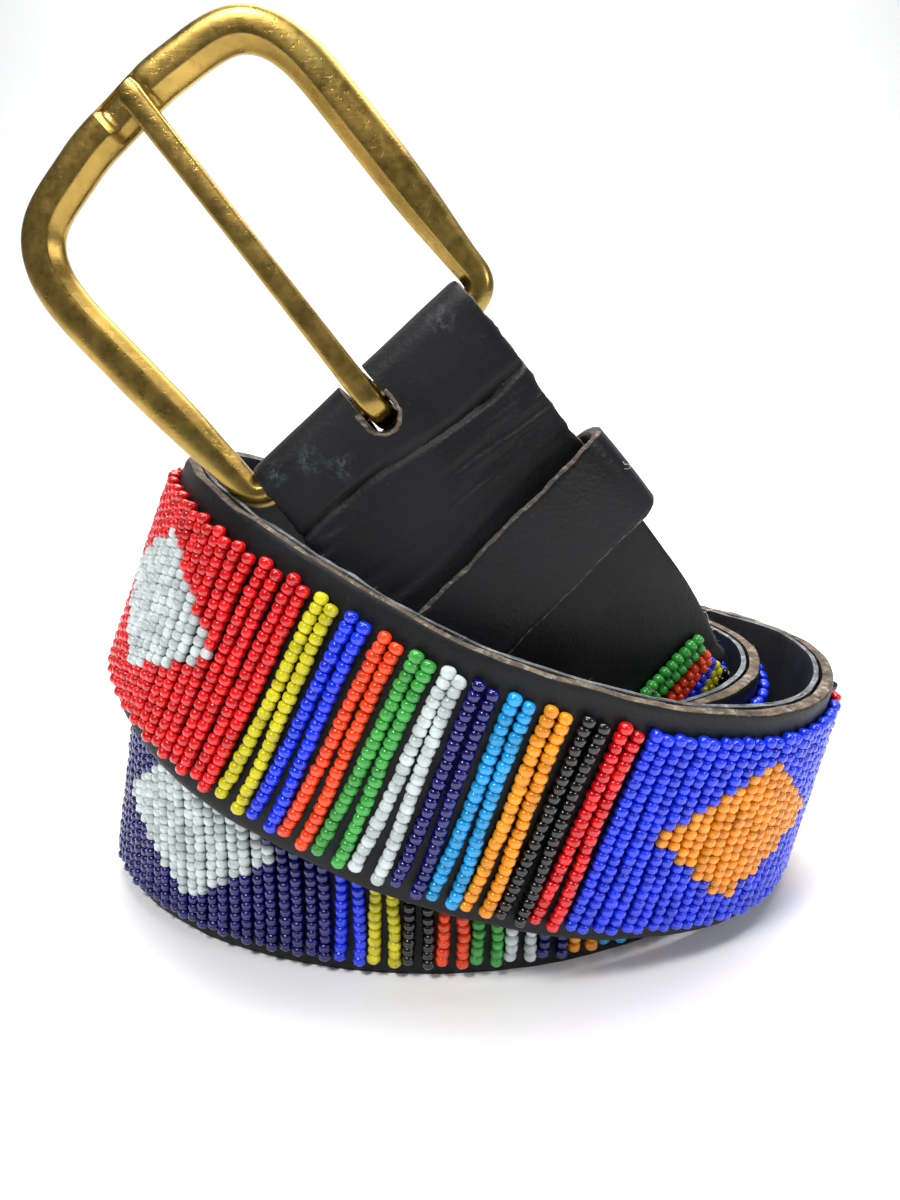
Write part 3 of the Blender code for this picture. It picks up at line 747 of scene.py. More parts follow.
@dataclass
class StrapLayer:
    """Sheet of leather with fine sections, worn edges and cut-out cells."""

    route: Route
    thickness: float
    corner: float = 0.00028
    edge_bulge: float = 0.00010
    rough: float = 0.00007
    edge_band: float = 0.0009
    wander_share: float = 2.0
    uneven_share: float = 0.4
    fibre_share: float = 1.4
    slot: Callable[[int], float] = lambda number: SLOT_HALF
    across: tuple[float, ...] = (
        SLOT_HALF, 0.0050, 0.0080, 0.0110, 0.0135, 0.0160, 0.0178, 0.0191, 0.0197, 0.0200)

    def columns(self) -> np.ndarray:
        """Places across the strap from its lower edge to its upper one."""
        half = np.array(self.across)
        return np.concatenate([-half[::-1], half])

    def half_width(self, along: float) -> float:
        """Half of the strap's width, which rounds off at the tip.

        Args:
            along: Distance from the fold.

        Returns:
            Half of the width there.
        """
        into_tip = (along - (self.route.length - TIP_LENGTH)) / TIP_LENGTH
        if into_tip <= 0.0:
            return HALF_WIDTH
        return HALF_WIDTH * max(TIP_END_SHARE, math.sqrt(max(0.0, 1.0 - into_tip**2)))

    def surfaces(self, rows: list[Section],
                 relief: Callable[[int, np.ndarray], np.ndarray]) -> tuple[np.ndarray, np.ndarray]:
        """Upper and lower points of the sheet.

        Args:
            rows: Middle point, width vector, normal and half width of each section.
            relief: Height added to the upper side, for a row number and places across.

        Returns:
            Arrays of points with one row for each section.
        """
        rng = np.random.default_rng(SEED)
        columns = self.columns()
        shares = columns / HALF_WIDTH
        edge = np.clip((np.abs(columns) - (HALF_WIDTH - self.edge_band)) / self.edge_band, 0.0, 1.0) ** 2
        wander = smoothed(rng.normal(0.0, self.rough * self.wander_share, (len(rows), 2)), 2)
        upper = []
        lower = []
        for number, (middle, width, normal, half) in enumerate(rows):
            across = shares * half
            across[len(across) // 2 - 1:len(across) // 2 + 1] = (-self.slot(number), self.slot(number))
            across[[0, -1]] += wander[number]
            uneven = rng.normal(0.0, self.rough * self.uneven_share, len(columns))
            drop = edge * self.corner + uneven * edge
            top = self.thickness / 2.0 - drop + relief(number, columns)
            bottom = -self.thickness / 2.0 + drop * 0.5
            upper.append(middle + np.outer(across, width) + np.outer(top, normal))
            lower.append(middle + np.outer(across, width) + np.outer(bottom, normal))
        return np.array(upper), np.array(lower)

    def sheet(self, name: str, rows: list[Section],
              relief: Callable[[int, np.ndarray], np.ndarray], omitted: set[tuple[int, int]],
              materials: Sequence[Material]) -> bpy.types.Object:
        """Closed mesh of the sheet, with slot 0 on its sides and slot 1 on its cut edges.

        Args:
            name: Name of the object.
            rows: Sections, as surfaces() takes them.
            relief: Height added to the upper side.
            omitted: Cells left open, by row and column.
            materials: Materials of the sides and of the edges.

        Returns:
            The new object.
        """
        upper, lower = self.surfaces(rows, relief)
        count, size = upper.shape[:2]
        bulge = np.zeros((count, size, 3))
        for end, sign in ((0, -1.0), (-1, 1.0)):
            bulge[:, end] = np.array([row[1] for row in rows]) * (sign * self.edge_bulge)
        rng = np.random.default_rng(SEED + 1)
        layers = [upper]
        for share in (0.25, 0.50, 0.75):
            fibres = rng.normal(0.0, self.rough * self.fibre_share, (count, size, 1))
            jitter = smoothed(fibres, 1) * np.sign(bulge)
            layers.append(upper * (1.0 - share) + lower * share + bulge + jitter)
        layers.append(lower)
        stack = np.stack(layers, axis=2)
        # Nothing of the strap goes below the floor
        stack[..., 2] = np.maximum(stack[..., 2], 0.0)
        depth = stack.shape[2]
        faces: Faces = []
        slots: list[int] = []

        def index(i: int, j: int, k: int) -> int:
            """Number of a point in the stack."""
            return (i * size + j) * depth + k

        def solid(i: int, j: int) -> bool:
            """Whether a cell is part of the sheet."""
            return 0 <= i < count - 1 and 0 <= j < size - 1 and (i, j) not in omitted

        for i in range(count - 1):
            for j in range(size - 1):
                if not solid(i, j):
                    continue
                corners = ((i, j), (i, j + 1), (i + 1, j + 1), (i + 1, j))
                faces.append(tuple(index(a, b, 0) for a, b in corners))
                faces.append(tuple(index(a, b, depth - 1) for a, b in reversed(corners)))
                slots += [0, 0]
                for side, other in enumerate(((i - 1, j), (i, j + 1), (i + 1, j), (i, j - 1))):
                    if solid(*other):
                        continue
                    a, b = corners[side], corners[(side + 1) % 4]
                    for k in range(depth - 1):
                        faces.append((index(*a, k), index(*a, k + 1), index(*b, k + 1), index(*b, k)))
                        slots.append(1)
        flat = stack.reshape(-1, 3)
        used = np.unique(np.concatenate([np.array(face) for face in faces]))
        renumber = -np.ones(len(flat), dtype=int)
        renumber[used] = np.arange(len(used))
        faces = [tuple(int(renumber[v]) for v in face) for face in faces]
        faces = outward_faces(flat[used], faces)
        return new_object(name, flat[used], faces, materials, slots, sharp_deg=50.0)


@dataclass
class HolePunch:
    """Round holes through the tail."""

    route: Route
    diameter: float = 0.0044
    count: int = 5
    pitch: float = 0.0220
    last_from_tip: float = 0.0420
    sides: int = 28

    def cut(self, layers: Sequence[bpy.types.Object], edge: Material) -> None:
        """Cut the holes through each layer.

        Args:
            layers: Layers of the strap.
            edge: Material of the holes' sides.
        """
        vertices = []
        faces = []
        turn = np.linspace(0.0, 2.0 * math.pi, self.sides, endpoint=False)
        for number in range(self.count):
            along = self.route.length - self.last_from_tip - self.pitch * number
            centre, direction, width, outward = self.route.single(along)
            ring = np.outer(np.cos(turn), direction) + np.outer(np.sin(turn), width)
            start = len(vertices) * self.sides
            for depth in (-STRAP_THICKNESS, STRAP_THICKNESS):
                vertices.append(centre + ring * (self.diameter / 2.0) + outward * depth)
            faces += [tuple(v + start for v in face) for face in loop_faces(2, self.sides, False)]
        points = np.concatenate(vertices)
        cutter = new_object("hole_cutter", points, outward_faces(points, faces), [edge], smooth=False)
        for layer in layers:
            cut = layer.modifiers.new("holes", "BOOLEAN")
            cut.operation = "DIFFERENCE"
            cut.solver = "EXACT"
            cut.object = cutter
            bpy.context.view_layer.objects.active = layer
            with bpy.context.temp_override(object=layer, active_object=layer):
                bpy.ops.object.modifier_apply(modifier=cut.name)
        bpy.data.objects.remove(cutter)


@dataclass
class Strap:
    """Both layers of the strap, with the fold, the seam and the tail's holes."""

    route: Route
    step: float = 0.0016
    fine_step: float = 0.00045
    fine_end: float = 0.0360
    groove_depth: float = 0.00080
    groove_half: float = 0.00055
    pits: Pairs = ((0.0148, 0.0130), (0.0150, -0.0115), (0.0165, -0.0150))
    pit_depth: float = 0.0008
    pit_half: tuple[float, float] = (0.0010, 0.0016)
    wrinkle: float = 0.00019
    crease_pitches: tuple[float, float] = (0.0031, 0.0019)
    puff: float = 0.00025
    puff_place: float = 0.0085
    puff_half: float = 0.0045
    rim_radius: float = 0.00052
    rim_room: float = 0.00040
    rim_start: float = 0.0058
    rim_sink: float = 0.00012
    rim_rough: float = 0.00007
    along: list[float] = field(default_factory=list)

    def flat_rows(self, places: Iterable[float], out: float, layer: StrapLayer,
                  flip: bool = False) -> list[Section]:
        """Sections that lie along the strap.

        Args:
            places: Distances of the sections from the fold.
            out: Distance of their middle from the strap's.
            layer: Layer they are for.
            flip: Whether the layer's upper side faces inwards.

        Returns:
            The sections.
        """
        rows = []
        for place in places:
            middle, _, width, outward = self.route.single(place)
            rows.append((middle + outward * out, width, -outward if flip else outward,
                         layer.half_width(place)))
            self.along.append(-place if flip else place)
        return rows

    def fold_rows(self, layer: StrapLayer) -> list[Section]:
        """Sections of the turned end and of the fold round the bar.

        Args:
            layer: Layer they are for.

        Returns:
            The sections, from the turned end to the front.
        """
        back_middle = FACE_MIDDLE - FACE_THICKNESS - LAYER_CLEARANCE
        axis_out = HALF_THICKNESS - FOLD_RADIUS
        fold_middle = FOLD_RADIUS - FACE_THICKNESS / 2.0
        drop = axis_out - fold_middle
        rows = self.flat_rows(np.arange(TURNED_END, SEAM_PLACE, -0.0011), back_middle, layer, flip=True)
        for share in np.linspace(0.0, 1.0, 26):
            along = SEAM_PLACE + (FOLD_RADIUS - SEAM_PLACE) * share
            middle, direction, width, outward = self.route.single(along)
            slope = (back_middle - drop) * 6.0 * share * (1.0 - share) / (SEAM_PLACE - FOLD_RADIUS)
            turn = math.pi - math.atan(slope)
            out = back_middle + (drop - back_middle) * float(eased(share))
            rows.append((middle + outward * out, width,
                         outward * math.cos(turn) - direction * math.sin(turn), HALF_WIDTH))
            self.along.append(-along)
        middle, direction, width, outward = self.route.single(FOLD_RADIUS)
        for turn in np.linspace(math.pi, 0.0, 26)[1:]:
            normal = outward * math.cos(turn) - direction * math.sin(turn)
            rows.append((middle + outward * axis_out + normal * fold_middle, width, normal, HALF_WIDTH))
            self.along.append(FOLD_RADIUS * (1.0 - 2.0 * turn / math.pi))
        return rows

    def slot_half(self, number: int) -> float:
        """Half width of the tongue's slot at a row, which rounds off at its front end.

        Args:
            number: Number of the row.

        Returns:
            Half of the slot's width there.
        """
        into = (self.along[number] - (SLOT_END - SLOT_HALF)) / SLOT_HALF
        if into <= 0.0:
            return SLOT_HALF
        return SLOT_HALF * max(0.12, math.sqrt(max(0.0, 1.0 - into**2)), min(1.0, into - 1.0))

    def collar(self, raw: Material) -> None:
        """Raise a raw rim round the front end of the tongue's slot.

        Args:
            raw: Material of the rim.
        """
        rng = np.random.default_rng(SEED + 5)
        radius = SLOT_HALF + self.rim_room
        middle = SLOT_END - SLOT_HALF
        turn = np.linspace(-math.pi / 2.0, math.pi / 2.0, 25)
        straight = np.linspace(self.rim_start, middle, 8)[:-1]
        along = np.concatenate([straight, middle + radius * np.cos(turn), straight[::-1]])
        side = np.full(len(straight), radius)
        across = np.concatenate([-side, radius * np.sin(turn), side])
        points = self.route.place(along + rng.normal(0.0, self.rim_rough, len(along)),
                                  across + rng.normal(0.0, self.rim_rough, len(along)),
                                  HALF_THICKNESS - self.rim_sink)
        vertices, faces = tube(points, self.rim_radius, 8, 0.8)
        attach(new_object("slot_rim", vertices, faces, (raw,)), "strap")

    def relief(self, number: int, across: np.ndarray) -> np.ndarray:
        """Height of the seam's groove, its pits, the creases and small unevenness.

        Args:
            number: Number of the row.
            across: Places across the strap.

        Returns:
            Height at each place.
        """
        along = self.along[number]
        if along < 0.0:
            return np.zeros(len(across))
        # Waves of unrelated lengths make the leather a little uneven
        height = 0.00005 * np.sin(along * 210.0 + across * 330.0) * np.sin(along * 87.0 - across * 140.0)
        height += 0.00004 * np.sin(along * 530.0 - across * 210.0 + 1.3)
        bend = 0.0006 * np.sin(across * 190.0)
        height -= self.groove_depth * np.exp(-((along - SEAM_PLACE - bend) / self.groove_half) ** 2)
        for place, offset in self.pits:
            apart = ((along - place) / self.pit_half[0]) ** 2 + ((across - offset) / self.pit_half[1]) ** 2
            height -= self.pit_depth * np.exp(-apart)
        near = eased((along - 0.0150) / 0.0040) * eased((self.fine_end - along) / 0.0140)
        wide, narrow = self.crease_pitches
        creases = np.sin(along * 2.0 * math.pi / wide + 2.2 * np.sin(across * 160.0))
        creases += 0.6 * np.sin(along * 2.0 * math.pi / narrow + 1.7 * np.sin(across * 260.0 + 1.0))
        height += self.wrinkle * near * creases * (0.55 + 0.45 * np.sin(across * 120.0 + along * 300.0))
        puff = np.exp(-((along - self.puff_place) / self.puff_half) ** 2) * self.puff
        return height + puff * np.cos(across / STRAP_WIDTH * math.pi)

    def places(self, start: float) -> np.ndarray:
        """Distances of the sections from a start to the tip.

        Args:
            start: Distance of the first section.

        Returns:
            Distances in order.
        """
        end = self.route.length - TIP_LENGTH
        fine = np.arange(start, max(start, self.fine_end), self.fine_step)
        first = fine[-1] + self.fine_step if len(fine) else start
        coarse = np.linspace(first, end, int((end - first) / self.step))
        tip = end + TIP_LENGTH * np.sin(np.linspace(0.0, math.pi / 2.0, 16))[1:]
        return np.concatenate([fine, coarse, tip])

    def build(self, leather: Material, face_edge: Material,
              lining: Material, lining_edge: Material) -> None:
        """Build the outer leather and the lining.

        Args:
            leather: Face of the outer leather.
            face_edge: Its cut edges.
            lining: Face of the lining.
            lining_edge: Its cut edges.
        """
        layer = StrapLayer(self.route, FACE_THICKNESS, slot=self.slot_half)
        rows = self.fold_rows(layer)
        places = self.places(FOLD_RADIUS + self.fine_step)
        rows += self.flat_rows(places, FACE_MIDDLE, layer)
        slot_column = len(layer.across) - 1
        omitted = {(i, slot_column) for i in range(len(rows) - 1)
                   if self.along[i] >= -BACK_SLOT_END and self.along[i + 1] <= SLOT_END}
        face = layer.sheet("strap_outer_leather", rows, self.relief, omitted, (leather, face_edge))
        inner = StrapLayer(self.route, LINING_THICKNESS, corner=0.00016, edge_bulge=0.00005)
        inner_middle = -(STRAP_THICKNESS - LINING_THICKNESS) / 2.0
        self.along = []
        inner_places = self.places(TURNED_END + 2.0 * LAYER_CLEARANCE)
        rows = self.flat_rows(inner_places, inner_middle, inner)
        under = inner.sheet("strap_inner_leather", rows, lambda number, across: np.zeros(len(across)),
                            set(), (lining, lining_edge))
        HolePunch(self.route).cut((face, under), face_edge)
        attach(face, "strap", ("strap_face",))
        self.collar(face_edge)
        attach(under, "strap", ("strap_lining",))


@dataclass
class BeadShape:
    """Seed bead as rings round its thread hole."""

    sides: int
    rings: Pairs

    def vertices(self) -> np.ndarray:
        """Points with the hole along the second axis, for a bead of radius 1 and length 1.

        Returns:
            One row for each vertex.
        """
        turn = np.linspace(0.0, 2.0 * math.pi, self.sides, endpoint=False) + math.pi / self.sides
        rows = [np.stack([radius * np.cos(turn), np.full(self.sides, place), radius * np.sin(turn)], axis=1)
                for place, radius in self.rings]
        return np.concatenate(rows)

    def loops(self) -> tuple[np.ndarray, np.ndarray]:
        """Vertex numbers of the faces in one run, and the count of corners of each face."""
        faces = outward_faces(self.vertices(), loop_faces(len(self.rings), self.sides, False))
        return np.concatenate([np.array(face) for face in faces]), np.array([len(face) for face in faces])


FULL_BEAD = BeadShape(10, ((-0.50, 0.38), (-0.43, 0.70), (-0.23, 0.95),
                           (0.23, 0.95), (0.43, 0.70), (0.50, 0.38)))
PLAIN_BEAD = BeadShape(7, ((-0.50, 0.55), (-0.20, 0.97), (0.20, 0.97), (0.50, 0.55)))


@dataclass
class Beadwork:
    """All the beads, laid out by the pattern's table and sewn on the strap's face."""

    route: Route
    rows: int = 22
    radius_along: float = 0.00108
    radius_out: float = 0.00103
    block_columns: int = 24
    pair_pull: float = 0.00009
    bow: float = 0.0008
    sway: float = 0.00012
    pair_spread: float = 0.00046
    stray: float = 0.00004
    size_spread: float = 0.042
    tilt_spread: float = 0.07
    lift: float = 0.00003
    lift_spread: float = 0.00005
    length_share: float = 1.06
    covered: tuple[float, float] = (0.108, 0.222)
    rng: np.random.Generator = field(default_factory=lambda: np.random.default_rng(SEED + 2))
    glass: dict[Bead, Material] = field(default_factory=dict)

    def dress(self) -> None:
        """Make one glass for each bead colour."""
        for colour in Bead:
            specks = {Bead.WHITE: 0.85, Bead.RED: 0.6}.get(colour, 0.0)
            self.glass[colour] = BeadGlass("glass_" + colour.name.lower(), colour.value, specks).material()

    def column(self, along: float, side: float, offset: float) -> np.ndarray:
        """Places of one column's beads: along, across and a number from the lower end.

        Args:
            along: Where the column is sewn.
            side: Which way the column spreads from its partner, or 0.
            offset: Share of a bead by which the column is moved down.

        Returns:
            One row for each bead.
        """
        pitch = (STRAP_WIDTH - 2.0 * BEAD_MARGIN) / self.rows
        number = np.arange(self.rows)
        across = -HALF_WIDTH + BEAD_MARGIN + pitch * (number + 0.5 - offset)
        share = across / HALF_WIDTH
        phase = self.rng.uniform(-0.5, 0.5)
        wave = self.bow * (share**3 / 0.6 - share) + self.sway * np.sin(math.pi * share * 1.2 + phase)
        spread = side * self.pair_spread * eased((0.15 - share) / 1.0)
        return np.stack([along + wave + spread + self.rng.normal(0.0, self.stray, self.rows),
                         across + self.rng.normal(0.0, self.stray, self.rows), number], axis=1)

    def mesh(self, name: str, places: np.ndarray, colours: Sequence[Bead], node: str, slot: str) -> None:
        """Join the beads of one field into one object.

        Args:
            name: Name of the object.
            places: Along and across of each bead.
            colours: Colour of each bead.
            node: Solid that the beads stand for.
            slot: Not used.
        """
        low, high = self.covered
        hidden = bool(np.all((places[:, 0] > low) & (places[:, 0] < high)))
        shape = PLAIN_BEAD if hidden else FULL_BEAD
        base = shape.vertices()
        loops, sizes = shape.loops()
        count = len(places)
        pitch = (STRAP_WIDTH - 2.0 * BEAD_MARGIN) / self.rows
        scale = self.rng.normal(1.0, self.size_spread, (count, 3))
        out = HALF_THICKNESS + self.radius_out + self.lift
        centre, direction, width, outward = self.route.at(places[:, 0])
        lift = out + self.rng.normal(0.0, self.lift_spread, count)
        centre = centre + width * places[:, 1:2] + outward * lift[:, None]
        tilt = self.rng.normal(0.0, self.tilt_spread, (count, 1))
        roll = self.rng.normal(0.0, self.tilt_spread, (count, 1))
        axis = unit(width + direction * tilt + outward * roll)
        side = unit(direction - axis * np.sum(direction * axis, axis=1, keepdims=True))
        front = np.cross(side, axis)
        size = np.array([self.radius_along, pitch * self.length_share, self.radius_out])
        sized = base[None] * (scale * size)[:, None]
        points = centre[:, None] + sized[..., 0:1] * side[:, None] + sized[..., 1:2] * axis[:, None]
        points = (points + sized[..., 2:3] * front[:, None]).reshape(-1, 3)
        mesh = bpy.data.meshes.new(name)
        mesh.vertices.add(len(points))
        mesh.vertices.foreach_set("co", points.astype(np.float32).ravel())
        mesh.loops.add(len(loops) * count)
        mesh.polygons.add(len(sizes) * count)
        starts = np.arange(count)[:, None]
        mesh.loops.foreach_set("vertex_index", (loops[None] + starts * len(base)).astype(np.int32).ravel())
        corner = np.concatenate([[0], np.cumsum(sizes)[:-1]])
        mesh.polygons.foreach_set("loop_start", (corner[None] + starts * len(loops)).astype(np.int32).ravel())
        palette = sorted(set(colours), key=lambda c: c.name)
        for colour in palette:
            mesh.materials.append(self.glass[colour])
        index = np.array([palette.index(c) for c in colours])
        mesh.polygons.foreach_set("material_index", np.repeat(index, len(sizes)).astype(np.int32))
        mesh.update(calc_edges=True)
        mesh.validate()
        mesh.shade_smooth()
        attach(linked(name, mesh), "strap", (node,))

    def stripes(self, number: int, start: float, pairs: Sequence[Bead]) -> None:
        """Field of pairs of columns of one colour.

        Args:
            number: Number of the field.
            start: Where it starts along the strap.
            pairs: Colour of each pair.
        """
        places = []
        colours = []
        for k, colour in enumerate(pairs):
            middle = start + (k + 0.5) * PAIR_PITCH
            for side in (-1.0, 1.0):
                drop = 0.10 if side < 0.0 else 0.48
                offset = drop + self.rng.normal(0.0, 0.05)
                places.append(self.column(middle + side * self.radius_along, side, offset))
                colours += [colour] * self.rows
        name = "beads_stripes_{}".format(number)
        self.mesh("seed_" + name, np.concatenate(places), colours, name, "striped_beads")

    def block(self, number: int, start: float, kind: Block) -> None:
        """Block of one colour with a diamond worked in it by its half sizes.

        Args:
            number: Number of the block.
            start: Where it starts along the strap.
            kind: Colours and sizes of its diamond.
        """
        places = []
        colours = []
        pitch = BLOCK_LENGTH / self.block_columns
        middle = (self.block_columns - 1) / 2.0
        for c in range(self.block_columns):
            offset = kind.brick * (c % 2)
            pull = self.pair_pull * (1.0 if c % 2 == 0 else -1.0)
            rows = self.column(start + (c + 0.5) * pitch + pull, 0.0, offset + self.rng.normal(0.0, 0.04))
            places.append(rows)
            for r in rows[:, 2]:
                reach = abs(c - middle) / kind.half_columns
                reach += abs(r - offset - (self.rows - 1) / 2.0) / kind.half_beads
                colours.append(kind.diamond if reach <= 1.0 else kind.ground)
        name = "beads_block_{}".format(number)
        self.mesh("seed_" + name, np.concatenate(places), colours, name, "block_beads")

    def build(self) -> None:
        """Lay the whole pattern from the buckle end to the tail."""
        self.dress()
        start = BEADS_START
        counts = {"stripes": 0, "block": 0}
        for part in PATTERN:
            if isinstance(part, Block):
                counts["block"] += 1
                self.block(counts["block"], start + BLOCK_GAP / 2.0, part)
                start += BLOCK_LENGTH + BLOCK_GAP
            else:
                counts["stripes"] += 1
                self.stripes(counts["stripes"], start, part)
                start += len(part) * PAIR_PITCH


def closed_curve(points: np.ndarray, count: int) -> np.ndarray:
    """Smooth closed curve through points, resampled to a count of even steps.

    Args:
        points: Points in order round the loop.
        count: Points of the curve.

    Returns:
        The curve's points, with all columns of the given ones.
    """
    ahead = np.roll(points, -1, axis=0)
    behind = np.roll(points, 1, axis=0)
    after = np.roll(points, -2, axis=0)
    t = np.linspace(0.0, 1.0, 12, endpoint=False)[:, None, None]
    curve = 0.5 * (2.0 * points + (ahead - behind) * t
                   + (2.0 * behind - 5.0 * points + 4.0 * ahead - after) * t**2
                   + (3.0 * points - behind - 3.0 * ahead + after) * t**3)
    curve = curve.transpose(1, 0, 2).reshape(-1, points.shape[1])
    closed = np.vstack([curve, curve[:1]])
    lengths = np.concatenate([[0.0], np.cumsum(np.linalg.norm(np.diff(closed[:, :2], axis=0), axis=1))])
    places = np.linspace(0.0, lengths[-1], count, endpoint=False)
    return np.stack([np.interp(places, lengths, closed[:, k]) for k in range(points.shape[1])], axis=1)


@dataclass
class Keeper:
    """Loop of leather behind the buckle, tight on one side and standing off on the other."""

    route: Route
    width: float = 0.0130
    thickness: float = 0.0018
    place: float = 0.0372
    room: float = 0.0042
    tight_room: float = 0.0012
    side_room: float = 0.0015
    side_bulge: float = 0.0026
    back_room: float = 0.0005
    skew_deg: float = 4.0
    rough: float = 0.00006
    rings: int = 120
    side: Pairs = (
        (0.00, 0.00), (0.80, 0.06), (1.00, 0.28), (1.00, 0.60), (0.75, 0.85), (0.30, 0.97), (-0.60, 1.00))
    section: Pairs = (
        (-0.47, 0.0), (-0.50, 0.22), (-0.50, 0.78), (-0.475, 0.95), (-0.42, 1.02), (-0.20, 1.05), (0.0, 1.06),
        (0.20, 1.05), (0.42, 1.02), (0.475, 0.95), (0.50, 0.78), (0.50, 0.22), (0.47, 0.0), (0.0, 0.0))

    def path(self) -> np.ndarray:
        """Inner path of the loop as places across and out.

        Returns:
            One row for each ring.
        """
        face = HALF_THICKNESS
        low = face - 2.0 * FACE_THICKNESS - LAYER_CLEARANCE - self.back_room
        start = HALF_WIDTH + self.side_room - self.side_bulge
        sides = []
        for sign, room in ((1.0, self.room), (-1.0, self.tight_room)):
            high = face + room
            sides.append([(sign * (start + self.side_bulge * bulge), low + (high - low) * height)
                          for bulge, height in self.side])
        right, left = sides
        flat = [(right[-1], left[-1]), (left[0], right[0])]
        front, back = ([tuple(np.array(a) + (np.array(b) - np.array(a)) * share)
                        for share in (0.2, 0.4, 0.6, 0.8)] for a, b in flat)
        return closed_curve(np.array(right + front + left[::-1] + back), self.rings)

    def build(self, leather: Material, edge: Material) -> None:
        """Build the loop.

        Args:
            leather: Material of the loop's faces.
            edge: Material of its cut sides.
        """
        path = self.path()
        ahead = unit(np.roll(path, -1, axis=0) - np.roll(path, 1, axis=0))
        normal = np.stack([ahead[:, 1], -ahead[:, 0]], axis=1) * self.thickness
        skew = math.tan(math.radians(self.skew_deg))
        rng = np.random.default_rng(SEED + 3)
        points = []
        for point, thick in zip(path, normal):
            wobble = 0.00022 * math.sin(point[0] * 410.0)
            wobble += 0.00012 * math.sin(point[0] * 900.0 + point[1] * 500.0)
            for edge_share, layer in self.section:
                rough = rng.normal(0.0, self.rough) if abs(edge_share) > 0.45 else 0.0
                along = self.place + edge_share * self.width - point[0] * skew + rough + wobble * edge_share
                across, out = point + thick * layer * (0.94 if layer > 1.0 else 1.0)
                points.append((along, across, out))
        rows = np.array(points)
        vertices = self.route.place(rows[:, 0], rows[:, 1], rows[:, 2])
        size = len(self.section)
        faces = loop_faces(len(path), size, True)
        cut_sides = (0, 1, 2, 9, 10, 11)
        slots = [int(n % size in cut_sides) for n in range(len(faces))]
        piece = new_object("keeper_loop", vertices, outward_faces(vertices, faces), (leather, edge), slots,
                           sharp_deg=55.0)
        attach(piece, "strap", ("keeper",))


@dataclass
class BuckleAxes:
    """Axes of the buckle: across along the bar, up away from the strap, front outwards."""

    route: Route
    turn_deg: float = 3.0

    def __post_init__(self) -> None:
        """Set the axes on the middle of the bar."""
        centre, direction, width, outward = self.route.single(FOLD_RADIUS)
        turn = math.radians(self.turn_deg)
        self.origin = centre + outward * (HALF_THICKNESS - FOLD_RADIUS)
        self.across = width
        self.up = -direction * math.cos(turn) + outward * math.sin(turn)
        self.front = outward * math.cos(turn) + direction * math.sin(turn)

    def points(self, rows: np.ndarray) -> np.ndarray:
        """Points in space for rows of across, up and front."""
        return self.origin + rows[:, 0:1] * self.across + rows[:, 1:2] * self.up + rows[:, 2:3] * self.front


